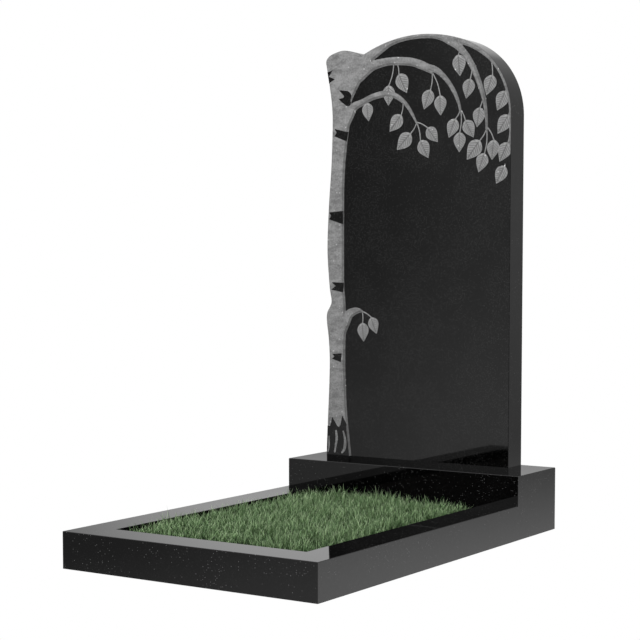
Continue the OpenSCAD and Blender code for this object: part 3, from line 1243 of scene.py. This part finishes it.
@dataclass
class Foliage:
    """Leaves and their stalks, laid on the slab along the boughs."""

    birch: Birch
    share: float = 0.68
    lead: float = 0.7
    lip: float = 1.4
    crown: float = 3.3
    vein: float = 1.3
    vein_w: float = 0.045
    sunk: float = 0.8
    rows: int = 44
    columns: int = 26
    stalk_r: float = 1.4
    leaf_inset: float = 0.8
    stalk_inset: float = 2.5

    def blade(self) -> bpy.types.Object:
        """One leaf of unit length along X, across Z, with its veins cut into its crown.

        Returns:
            The leaf, which the tree of the leaves repeats.
        """
        points: list[tuple[float, float, float]] = [(0.0, -self.lip * MM, 0.0)]
        cuts = [0.0]
        for row in range(1, self.rows):
            t = row / self.rows
            half = self.share / 2 * math.sin(math.pi * t**self.lead)
            for column in range(self.columns + 1):
                s = 2 * column / self.columns - 1
                height, cut = self.profile(t, s, half)
                points.append((t, -height * MM, s * half))
                cuts.append(cut)
        tip = len(points)
        points.append((1.0, -self.lip * MM, 0.0))
        cuts.append(0.0)
        faces, rim = self.skin(tip)
        behind = len(points)
        for index in rim:
            points.append((points[index][0], self.sunk * MM, points[index][2]))
            cuts.append(0.0)
        n = len(rim)
        for k in range(n):
            a, b = k, (k + 1) % n
            faces.append([rim[b], rim[a], behind + a, behind + b])
        faces.append([behind + k for k in range(n - 1, -1, -1)])
        leaf = new_object("leaf_blade", points, faces)
        # The vein cuts are also stored as painted shade, which darkens the leaf's colour in them.
        set_values(leaf, "groove", cuts)
        return leaf

    def profile(self, t: float, s: float, half: float) -> tuple[float, float]:
        """The leaf's surface at one place.

        Args:
            t: how far along the leaf.
            s: how far across, from -1 to 1.
            half: half of the leaf's width there.

        Returns:
            Height over the slab in millimetres, and how far into a vein cut the place lies, which
            also sets its painted shade.
        """
        dome = self.lip + (self.crown - self.lip) * (1 - s**4) * math.sin(math.pi * t) ** 0.3
        across = abs(s) * half
        midrib = math.exp(-((across / (self.vein_w * 0.55)) ** 2)) if t < 0.93 else 0.0
        wave = (t - across * 0.75) / 0.125
        gap = abs(wave - round(wave)) * 0.125
        reach = min(1.0, (1 - abs(s)) / 0.2)
        side = math.exp(-((gap / (self.vein_w * 0.62)) ** 2)) * reach if 0.12 < t < 0.9 else 0.0
        cut = max(midrib, 0.85 * side)
        return dome - self.vein * cut, cut

    def skin(self, tip: int) -> tuple[list[list[int]], list[int]]:
        """Faces of the leaf's front, and the points round its rim.

        Args:
            tip: index of the tip.

        Returns:
            The faces, and the rim's points in order.
        """
        width = self.columns + 1
        start = [1 + row * width for row in range(self.rows - 1)]
        faces = [[0, start[0] + k, start[0] + k + 1] for k in range(self.columns)]
        faces += [[tip, start[-1] + k + 1, start[-1] + k] for k in range(self.columns)]
        for a, b in zip(start, start[1:]):
            faces += [[a + k, b + k, b + k + 1, a + k + 1] for k in range(self.columns)]
        upper = [s + self.columns for s in reversed(start)]
        return faces, [0, *start, tip, *upper]

    def seeds(self) -> bpy.types.Object:
        """One point for each leaf, with its turn and its length."""
        drawing = self.birch.drawing
        leaves = self.birch.leaves()
        base = np.array([leaf[1] for leaf in leaves])
        run = np.array([leaf[2] - leaf[1] for leaf in leaves])
        seeds = new_object("leaf_seeds", drawing.place(base[:, 0], base[:, 1], np.array(0.0)), [])
        set_values(seeds, "turn", -np.arctan2(run[:, 1], run[:, 0]))
        set_values(seeds, "length", np.hypot(*run.T) * MM)
        return seeds

    def leaf_tree(self) -> bpy.types.NodeTree:
        """Tree that lays a leaf on each point, turned and scaled as the point says."""
        graph, given, result = geometry_tree("lay_leaves", {
            "Leaf": "NodeSocketObject", "Material": "NodeSocketMaterial"})
        source = graph.node("GeometryNodeObjectInfo", transform_space="ORIGINAL")
        graph.link(given.outputs["Leaf"], source.inputs["Object"])
        turn, length = (graph.node("GeometryNodeInputNamedAttribute", data_type="FLOAT")
                        for _ in range(2))
        turn.inputs["Name"].default_value = "turn"
        length.inputs["Name"].default_value = "length"
        angle = graph.node("ShaderNodeCombineXYZ")
        graph.link(turn.outputs[0], angle.inputs[1])
        size = graph.node("ShaderNodeCombineXYZ")
        graph.link(length.outputs[0], size.inputs[0])
        size.inputs[1].default_value = 1.0
        graph.link(length.outputs[0], size.inputs[2])
        lay = graph.node("GeometryNodeInstanceOnPoints")
        graph.link(given.outputs["Geometry"], lay.inputs["Points"])
        graph.link(source.outputs["Geometry"], lay.inputs["Instance"])
        graph.link(angle.outputs[0], lay.inputs["Rotation"])
        graph.link(size.outputs[0], lay.inputs["Scale"])
        end_tree(graph, lay.outputs[0], given, result)
        return graph.tree

    def stalk_paths(self) -> bpy.types.Object:
        """The lines that the stalks follow, from their bough into their leaf."""
        drawing = self.birch.drawing
        points, edges = [], []
        for stem, base, tip in self.birch.leaves():
            run = base - stem
            side = np.array([-run[1], run[0]]) * 0.06
            into = base + (tip - base) * 0.1
            for k, share in enumerate(np.linspace(0, 1, 7)):
                at = stem + run * share + side * math.sin(math.pi * share)
                if k:
                    edges.append((len(points) - 1, len(points)))
                points.append(at)
            edges.append((len(points) - 1, len(points)))
            points.append(into)
        front = np.array(points)
        x, z = front.T
        x = x - drawing.past_side(front, self.stalk_inset)
        mesh = bpy.data.meshes.new("stalk_paths")
        mesh.from_pydata(drawing.place(x, z, np.array(0.5)).tolist(), edges, [])
        paths = bpy.data.objects.new("stalk_paths", mesh)
        bpy.context.scene.collection.objects.link(paths)
        return paths

    def stalk_tree(self) -> bpy.types.NodeTree:
        """Tree that sweeps a round stalk along each line."""
        graph, given, result = geometry_tree("sweep_stalks", {
            "Radius": "NodeSocketFloat", "Material": "NodeSocketMaterial"})
        line = graph.node("GeometryNodeMeshToCurve")
        graph.link(given.outputs["Geometry"], line.inputs["Mesh"])
        ring = graph.node("GeometryNodeCurvePrimitiveCircle", mode="RADIUS")
        ring.inputs["Resolution"].default_value = 10
        graph.link(given.outputs["Radius"], ring.inputs["Radius"])
        sweep = graph.node("GeometryNodeCurveToMesh")
        graph.link(line.outputs[0], sweep.inputs["Curve"])
        graph.link(ring.outputs["Curve"], sweep.inputs["Profile Curve"])
        sweep.inputs["Fill Caps"].default_value = True
        end_tree(graph, sweep.outputs[0], given, result)
        return graph.tree

    def hold_in(self, item: bpy.types.Object) -> None:
        """Cuts leaves flush with the slab's right side, by moving their points back to it.

        Args:
            item: the object to change.
        """
        drawing, places = self.birch.drawing, places_of(item)
        front = (places[:, [0, 2]] - [drawing.foot_x, drawing.base_z]) / MM
        places[:, 0] -= drawing.past_side(front, self.leaf_inset) * MM
        move_points(item, places)

    def build(self, material: bpy.types.Material) -> None:
        """Makes the leaves and the stalks.

        Args:
            material: tooled stone.
        """
        blade = self.blade()
        leaves = grown("birch_leaves", self.seeds(), self.leaf_tree(),
                       {"Leaf": blade, "Material": material})
        bpy.data.objects.remove(blade)
        self.hold_in(leaves)
        soften(leaves, 40)
        dress(leaves, material, Slot.CARVED)
        stalks = grown("birch_stalks", self.stalk_paths(), self.stalk_tree(),
                       {"Radius": self.stalk_r * MM, "Material": material})
        soften(stalks, 50)
        dress(stalks, material, Slot.CARVED)


def geometry_tree(name: str, inputs: dict[str, str]) -> tuple[Graph, bpy.types.Node,
                                                             bpy.types.Node]:
    """Starts a geometry node tree.

    Args:
        name: its name.
        inputs: named inputs with their socket types, after Geometry.

    Returns:
        The graph, its input node and its output node.
    """
    tree = bpy.data.node_groups.new(name, "GeometryNodeTree")
    tree.interface.new_socket("Geometry", in_out="INPUT", socket_type="NodeSocketGeometry")
    for key, kind in inputs.items():
        tree.interface.new_socket(key, in_out="INPUT", socket_type=kind)
    tree.interface.new_socket("Geometry", in_out="OUTPUT", socket_type="NodeSocketGeometry")
    graph = Graph(tree)
    return graph, graph.node("NodeGroupInput"), graph.node("NodeGroupOutput")


def end_tree(graph: Graph, made: bpy.types.NodeSocket, given: bpy.types.Node,
             result: bpy.types.Node) -> None:
    """Ends a geometry tree with real geometry in its material."""
    real = graph.node("GeometryNodeRealizeInstances")
    graph.link(made, real.inputs[0])
    paint = graph.node("GeometryNodeSetMaterial")
    graph.link(real.outputs[0], paint.inputs["Geometry"])
    graph.link(given.outputs["Material"], paint.inputs["Material"])
    graph.link(paint.outputs[0], result.inputs[0])


def grown(name: str, base: bpy.types.Object, tree: bpy.types.NodeTree,
          values: dict[str, object]) -> bpy.types.Object:
    """Runs a geometry tree and keeps what it makes as a plain mesh.

    Args:
        name: the piece's name.
        base: the object that the tree starts from, which is removed.
        tree: the tree.
        values: its named inputs.

    Returns:
        The new piece.
    """
    modifier = base.modifiers.new("grow", "NODES")
    modifier.node_group = tree
    for item in tree.interface.items_tree:
        if item.item_type == "SOCKET" and item.in_out == "INPUT" and item.name in values:
            modifier[item.identifier] = values[item.name]
    bpy.context.view_layer.update()
    evaluated = base.evaluated_get(bpy.context.evaluated_depsgraph_get())
    mesh = bpy.data.meshes.new_from_object(evaluated)
    mesh.name = name
    bpy.data.objects.remove(base)
    piece = bpy.data.objects.new(name, mesh)
    bpy.context.scene.collection.objects.link(piece)
    return piece


@dataclass
class Turf:
    """The bed inside the kerb: crumbly soil, and grass that grows out of it."""

    seed: int = 7
    blade_h: float = 0.034
    blade_w: float = 0.0024
    per_area: float = 72000.0
    strips: int = 3
    variants: int = 8
    wisps: int = 2
    bare: float = 0.06
    gap: float = 0.0018
    give: float = 0.06
    lean_out: float = 0.6
    crown: float = 0.008
    edge: float = 0.003
    depth: float = 0.004
    tilt: float = 0.34
    shortest: float = 0.62
    tallest: float = 1.15
    soil_steps: tuple[int, int] = (70, 110)
    tree: bpy.types.NodeTree | None = None

    def build(self, soil: bpy.types.Material, grass: bpy.types.Material) -> None:
        """Makes the soil and the grass.

        Args:
            soil: material of the earth.
            grass: material of the blades.
        """
        low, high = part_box(Node.TURF.value)
        self.soil(low, high, soil)
        blades = bpy.data.collections.new("blades")
        bpy.context.scene.collection.children.link(blades)
        for k in range(self.variants):
            self.blade(k, blades)
        tree = self.grass_tree()
        for strip in range(self.strips):
            y0 = low.y + (high.y - low.y) * strip / self.strips
            y1 = low.y + (high.y - low.y) * (strip + 1) / self.strips
            patch = self.patch(low, high, y0, y1)
            piece = grown(f"turf_grass_{strip + 1}", patch, tree, {
                "Blades": blades, "Per Area": self.per_area, "Seed": self.seed + strip,
                "Material": grass})
            self.clear_stone(piece, low, high)
            soften(piece, 80)
            dress(piece, grass, Slot.TURF)
            piece.visible_glossy = False
        for blade in list(blades.objects):
            bpy.data.objects.remove(blade)
        bpy.data.collections.remove(blades)

    def clear_stone(self, piece: bpy.types.Object, low: Vector, high: Vector) -> None:
        """Bends blades back from the kerb and the plinth, but lets them lean out over the kerb.

        Args:
            piece: the grass to change.
            low: lowest corner of the bed.
            high: highest corner of the bed.
        """
        places = places_of(piece)
        over = np.maximum(places[:, 2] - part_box(Node.FRONT_KERB.value)[1].z, 0) * self.lean_out
        walls = [(0, -1, -low.x, over), (0, 1, high.x, over), (1, -1, -low.y, over),
                 (1, 1, high.y, 0.0)]
        for axis, way, wall, free in walls:
            limit = wall - self.gap + free
            past = np.maximum(way * places[:, axis] - limit, 0)
            places[:, axis] -= way * past * (1 - self.give)
        move_points(piece, places)

    def top(self, x: np.ndarray, low: Vector, high: Vector) -> np.ndarray:
        """Height of the ground across the bed: a low crown."""
        edge = high.z - self.crown
        return edge + (high.z - edge) * (1 - (2 * x / (high.x - low.x)) ** 2)

    def soil(self, low: Vector, high: Vector, material: bpy.types.Material) -> None:
        """Makes the closed block of earth.

        Args:
            low: lowest corner of the bed.
            high: highest corner of the bed.
            material: earth.
        """
        nx, ny = self.soil_steps
        x, y = np.meshgrid(np.linspace(low.x, high.x, nx + 1), np.linspace(low.y, high.y, ny + 1))
        crumbs = (0.0028 * value_noise(x + 1, y + 1, (0.031, 0.027), 21)
                  + 0.0016 * value_noise(x + 1, y + 1, (0.012, 0.011), 22))
        z = self.top(x, low, high) - crumbs
        points = np.stack([x, y, z], axis=-1).reshape(-1, 3)
        index, faces = grid_faces(ny + 1, nx + 1)
        ring = [*index[0, :-1], *index[:-1, -1], *index[-1, :0:-1], *index[:0:-1, 0]]
        start = len(points)
        foot = points[ring].copy()
        foot[:, 2] = low.z
        n = len(ring)
        faces += [[int(ring[(k + 1) % n]), int(ring[k]), start + k, start + (k + 1) % n]
                  for k in range(n)]
        faces.append([start + k for k in range(n - 1, -1, -1)])
        piece = new_object("turf_soil", np.vstack([points, foot]), faces)
        soften(piece, 60)
        dress(piece, material, Slot.TURF, Node.TURF)

    def blade(self, k: int, into: bpy.types.Collection) -> None:
        """Makes one blade: three-sided, tapering and bent over.

        Args:
            k: which of the variants.
            into: collection that holds the variants.
        """
        rng = np.random.default_rng(100 + k)
        bend = rng.uniform(0.1, 0.75)
        height = self.blade_h * rng.uniform(0.8, 1.1)
        width = self.blade_w * rng.uniform(0.8, 1.15)
        if k < self.wisps:
            height, width = height * 1.5, width * 0.55
        levels = (0.0, 0.4, 0.75)
        points, rise = [], []
        for level in levels:
            half = width / 2 * (1 - 0.75 * level**1.5)
            out = bend * height * level**2 * 0.7
            up = height * level * (1 - 0.18 * bend * level)
            points += [(-half, out, up), (half, out, up), (0.0, out + half * 0.5, up)]
            rise += [level] * 3
        points.append((0.0, bend * height * 0.7, height * (1 - 0.18 * bend)))
        rise.append(1.0)
        faces = [[2, 1, 0]]
        for row in range(len(levels) - 1):
            for side in range(3):
                a, b = row * 3 + side, row * 3 + (side + 1) % 3
                faces.append([a, b, b + 3, a + 3])
        last = (len(levels) - 1) * 3
        faces += [[last + side, last + (side + 1) % 3, last + 3] for side in range(3)]
        blade = new_object(f"blade_{k}", points, faces)
        set_values(blade, "rise", rise)
        bpy.context.scene.collection.objects.unlink(blade)
        into.objects.link(blade)

    def patch(self, low: Vector, high: Vector, y0: float, y1: float) -> bpy.types.Object:
        """The ground that one strip of grass grows on, with how dense and how tall it grows.

        Args:
            low: lowest corner of the bed.
            high: highest corner of the bed.
            y0: front of the strip.
            y1: back of the strip.

        Returns:
            A sheet with the attributes cover and tall.
        """
        xs = np.linspace(low.x + self.edge, high.x - self.edge, 61)
        ys = np.linspace(max(y0, low.y + self.edge), min(y1, high.y - self.edge), 41)
        x, y = np.meshgrid(xs, ys)
        points = np.stack([x, y, self.top(x, low, high) - self.depth], axis=-1).reshape(-1, 3)
        sheet = new_object("patch", points, grid_faces(*x.shape)[1])
        cover, tall = self.growth(x, y, low, high)
        set_values(sheet, "cover", cover)
        set_values(sheet, "tall", tall)
        return sheet

    def growth(self, x: np.ndarray, y: np.ndarray, low: Vector,
               high: Vector) -> tuple[np.ndarray, np.ndarray]:
        """How dense and how tall the grass grows.

        Args:
            x: places across the bed.
            y: places along it.
            low: lowest corner of the bed.
            high: highest corner of the bed.

        Returns:
            Cover from 0 to 1, and height as a share of a blade's own.
        """
        side = np.minimum(x - low.x, high.x - x)
        end = high.y - y
        tufts = value_noise(x + 1, y + 1, (0.05, 0.05), 31)
        edge = np.clip(np.minimum(side, y - low.y) / 0.03, 0, 1)
        thin = np.clip((end - self.bare * 0.3) / self.bare, 0, 1)
        cover = np.clip(0.75 + 0.5 * tufts, 0, 1) * (0.6 + 0.4 * edge) * (0.1 + 0.9 * thin)
        tall = (0.72 + 0.42 * tufts) * (0.82 + 0.18 * edge) * (0.6 + 0.4 * thin)
        return cover, tall

    def grass_tree(self) -> bpy.types.NodeTree:
        """Tree that scatters blades over a sheet, each with its own lean, size and tone."""
        graph, given, result = geometry_tree("grow_grass", {
            "Blades": "NodeSocketCollection", "Per Area": "NodeSocketFloat",
            "Seed": "NodeSocketInt", "Material": "NodeSocketMaterial"})
        cover = graph.node("GeometryNodeInputNamedAttribute", data_type="FLOAT")
        cover.inputs["Name"].default_value = "cover"
        scatter = graph.node("GeometryNodeDistributePointsOnFaces", distribute_method="RANDOM")
        graph.link(given.outputs["Geometry"], scatter.inputs["Mesh"])
        graph.link(graph.math("MULTIPLY", cover.outputs[0], given.outputs["Per Area"]),
                   scatter.inputs["Density"])
        graph.link(given.outputs["Seed"], scatter.inputs["Seed"])

        tone = graph.node("FunctionNodeRandomValue", data_type="FLOAT")
        tone.inputs["Seed"].default_value = 3
        store = graph.node("GeometryNodeStoreNamedAttribute", data_type="FLOAT", domain="POINT")
        graph.link(scatter.outputs["Points"], store.inputs["Geometry"])
        store.inputs["Name"].default_value = "tone"
        graph.link(socket_of(tone.outputs, "Value_001"), socket_of(store.inputs, "Value"))

        lean = graph.node("FunctionNodeRandomValue", data_type="FLOAT_VECTOR")
        socket_of(lean.inputs, "Min").default_value = (-self.tilt, -self.tilt, 0.0)
        socket_of(lean.inputs, "Max").default_value = (self.tilt, self.tilt, 2 * math.pi)
        lean.inputs["Seed"].default_value = 5
        size = graph.node("FunctionNodeRandomValue", data_type="FLOAT")
        socket_of(size.inputs, "Min_001").default_value = self.shortest
        socket_of(size.inputs, "Max_001").default_value = self.tallest
        size.inputs["Seed"].default_value = 9
        tall = graph.node("GeometryNodeInputNamedAttribute", data_type="FLOAT")
        tall.inputs["Name"].default_value = "tall"
        height = graph.math("MULTIPLY", socket_of(size.outputs, "Value_001"), tall.outputs[0])
        scale = graph.node("ShaderNodeCombineXYZ")
        scale.inputs[0].default_value = 1.0
        graph.link(height, scale.inputs[1])
        graph.link(height, scale.inputs[2])

        source = graph.node("GeometryNodeCollectionInfo", transform_space="ORIGINAL")
        source.inputs["Separate Children"].default_value = True
        source.inputs["Reset Children"].default_value = True
        graph.link(given.outputs["Blades"], source.inputs["Collection"])
        lay = graph.node("GeometryNodeInstanceOnPoints")
        lay.inputs["Pick Instance"].default_value = True
        graph.link(store.outputs[0], lay.inputs["Points"])
        graph.link(source.outputs[0], lay.inputs["Instance"])
        graph.link(socket_of(lean.outputs, "Value"), lay.inputs["Rotation"])
        graph.link(scale.outputs[0], lay.inputs["Scale"])
        end_tree(graph, lay.outputs[0], given, result)
        return graph.tree


def socket_of(sockets: bpy.types.bpy_prop_collection, identifier: str) -> bpy.types.NodeSocket:
    """The socket with an identifier, since several may share a name."""
    return next(s for s in sockets if s.identifier == identifier)


@dataclass(frozen=True)
class Masonry:
    """The plinth and the kerb bars, which keep their construction meshes."""

    nodes: tuple[tuple[Node, Slot], ...] = (
        (Node.PLINTH, Slot.POLISHED), (Node.LEFT_KERB, Slot.KERB),
        (Node.RIGHT_KERB, Slot.KERB), (Node.FRONT_KERB, Slot.KERB))

    def build(self, kerb: bpy.types.Material, plinth: bpy.types.Material) -> None:
        """Polishes them.

        Args:
            kerb: polished stone of the kerb.
            plinth: polished stone of the plinth.
        """
        for node, slot in self.nodes:
            piece = frame["nodes"][node.value]
            for place in piece.material_slots:
                place.material = plinth if node is Node.PLINTH else kerb
            log.info("%s: polished", piece.name)


# ---------------------------------------------------------------- studio


@dataclass(frozen=True)
class Glow:
    """A soft bright part of the surroundings.

    Azimuths run from the back, to the right. Angles are in degrees.
    """

    azimuth: float
    inner: float
    outer: float
    low: float
    high: float
    strength: float


@dataclass(frozen=True)
class Lamp:
    """A soft square lamp."""

    name: str
    place: tuple[float, float, float]
    size: float
    power: float


@dataclass
class Studio:
    """Camera, floor and light."""

    station: tuple[float, float, float] = (1.982952, -3.025267, 0.640766)
    yaw: float = 33.46
    pitch: float = 3.953
    lens: float = 90.598
    shift: float = 0.0866
    dim: float = 0.3
    glows: tuple[Glow, ...] = (
        Glow(180, 26.5, 33, -90, -89, 0.29),
        Glow(180, 30, 42, 2, -7, 0.32),
        Glow(180, 60, 90, -9.8, -12, 0.2),
        Glow(30, 50, 80, -90, -89, 0.05),
        Glow(20, 50, 80, -9, 4, 0.13),
        Glow(30, 35, 70, -5.8, -12, 1.0),
        Glow(-25, 8, 20, 6.4, 8.8, 0.5),
    )
    hung: tuple[Lamp, ...] = (
        Lamp("key_lamp", (-1.9, -2.6, 3.0), 0.7, 90.0),
        Lamp("fill_lamp", (1.6, -3.4, 3.0), 1.4, 30.0),
    )
    aim: tuple[float, float, float] = (0.0, 0.2, 0.6)

    def build(self) -> None:
        """Sets up the studio."""
        self.camera()
        self.surroundings()
        self.floor()
        self.lamps()
        bpy.context.scene.view_settings.view_transform = "Standard"

    def camera(self) -> None:
        """Stands the camera low, in front and to the right."""
        data = bpy.data.cameras.new("camera")
        data.lens = self.lens
        data.shift_y = self.shift
        data.clip_end = 100.0
        camera = bpy.data.objects.new("camera", data)
        bpy.context.scene.collection.objects.link(camera)
        camera.location = self.station
        camera.rotation_euler = (math.radians(90 - self.pitch), 0.0, math.radians(self.yaw))
        bpy.context.scene.camera = camera

    def surroundings(self) -> None:
        """White for the camera, and soft uneven light for everything else."""
        world = bpy.data.worlds.new("surroundings")
        world.use_nodes = True
        bpy.context.scene.world = world
        graph = Graph(world.node_tree)
        direction = graph.node("ShaderNodeTexCoord").outputs["Generated"]
        parts = graph.node("ShaderNodeSeparateXYZ")
        graph.link(direction, parts.inputs[0])
        height = parts.outputs[2]
        level = graph.node("ShaderNodeVectorMath", operation="MULTIPLY")
        graph.link(direction, level.inputs[0])
        level.inputs[1].default_value = (1.0, 1.0, 0.0)
        heading = graph.node("ShaderNodeVectorMath", operation="NORMALIZE")
        graph.link(level.outputs[0], heading.inputs[0])
        total = graph.ramp(height, 0.35, 0.9, self.dim, 1.25)
        for glow in self.glows:
            turn = math.radians(glow.azimuth)
            toward = graph.node("ShaderNodeVectorMath", operation="DOT_PRODUCT")
            graph.link(heading.outputs[0], toward.inputs[0])
            toward.inputs[1].default_value = (math.sin(turn), math.cos(turn), 0.0)
            round_it = graph.ramp(toward.outputs["Value"], math.cos(math.radians(glow.outer)),
                                  math.cos(math.radians(glow.inner)))
            low, high = (math.sin(math.radians(a)) for a in (glow.low, glow.high))
            if low < high:
                upright = graph.ramp(height, low, high)
            else:
                upright = graph.ramp(height, high, low, 1.0, 0.0)
            part = graph.math("MULTIPLY", round_it, upright)
            total = graph.math("MULTIPLY_ADD", part, glow.strength, total)
        soft = graph.node("ShaderNodeBackground")
        graph.link(total, soft.inputs["Strength"])
        white = graph.node("ShaderNodeBackground")
        white.inputs["Color"].default_value = grey(1.0)
        path = graph.node("ShaderNodeLightPath")
        choose = graph.node("ShaderNodeMixShader")
        graph.link(path.outputs["Is Camera Ray"], choose.inputs[0])
        graph.link(soft.outputs[0], choose.inputs[1])
        graph.link(white.outputs[0], choose.inputs[2])
        output = graph.node("ShaderNodeOutputWorld")
        graph.link(choose.outputs[0], output.inputs["Surface"])

    def floor(self) -> None:
        """Lays a white floor that glows, so that it takes no shadow."""
        half, below = 25.0, -0.0005
        corners = [(-half, -half, below), (half, -half, below), (half, half, below),
                   (-half, half, below)]
        floor = new_object("floor", corners, [[0, 1, 2, 3]])
        material, _, shader, _ = new_material("pale_floor")
        shader.inputs["Base Color"].default_value = grey(0.0)
        shader.inputs["Roughness"].default_value = 1.0
        shader.inputs["Specular IOR Level"].default_value = 0.0
        shader.inputs["Emission Color"].default_value = grey(1.0)
        shader.inputs["Emission Strength"].default_value = 1.0
        floor.data.materials.append(material)
        floor.visible_glossy = False

    def lamps(self) -> None:
        """Hangs the soft lamps that model the carving and the grass."""
        for lamp in self.hung:
            data = bpy.data.lights.new(lamp.name, "AREA")
            data.size = lamp.size
            data.energy = lamp.power
            made = bpy.data.objects.new(lamp.name, data)
            bpy.context.scene.collection.objects.link(made)
            made.location = lamp.place
            made.visible_glossy = False
            toward = Vector(self.aim) - Vector(lamp.place)
            made.rotation_euler = toward.to_track_quat("-Z", "Y").to_euler()


# ---------------------------------------------------------------- assembly


def drawing_of_headstone() -> Drawing:
    """Takes the drawing's place and sizes from the construction.

    Returns:
        The drawing.
    """
    overhang, relief = 2.0, 5.0
    low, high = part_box(Node.HEADSTONE.value)
    return Drawing(
        foot_x=low.x + overhang * MM, base_z=low.z, face_y=low.y + relief * MM,
        stone_w=(high.x - low.x) / MM - overhang, stone_h=(high.z - low.z) / MM,
        stone_t=(high.y - low.y) / MM - relief, relief=relief)


def main() -> None:
    """Builds the looks around the construction."""
    logging.basicConfig(level=logging.INFO, format="%(message)s")
    Studio().build()
    effects = Effects()
    polished = PolishedGabbro().material(effects)
    bark = TooledStone("tooled_bark", groove=0.9).material(effects)
    leaf = TooledStone("tooled_leaf", light=0.34, dark=0.22, stretch=1.0,
                       groove=0.95).material(effects)
    birch = Birch(drawing_of_headstone())
    Slab(birch).build(polished)
    Carving(birch).build(bark, polished)
    Foliage(birch).build(leaf)
    plinth = PolishedGabbro("polished_plinth", hidden_top=True).material(effects)
    Masonry().build(polished, plinth)
    Turf().build(Soil().material(effects), GrassBlade().material(effects))


if __name__ == "__main__":
    main()
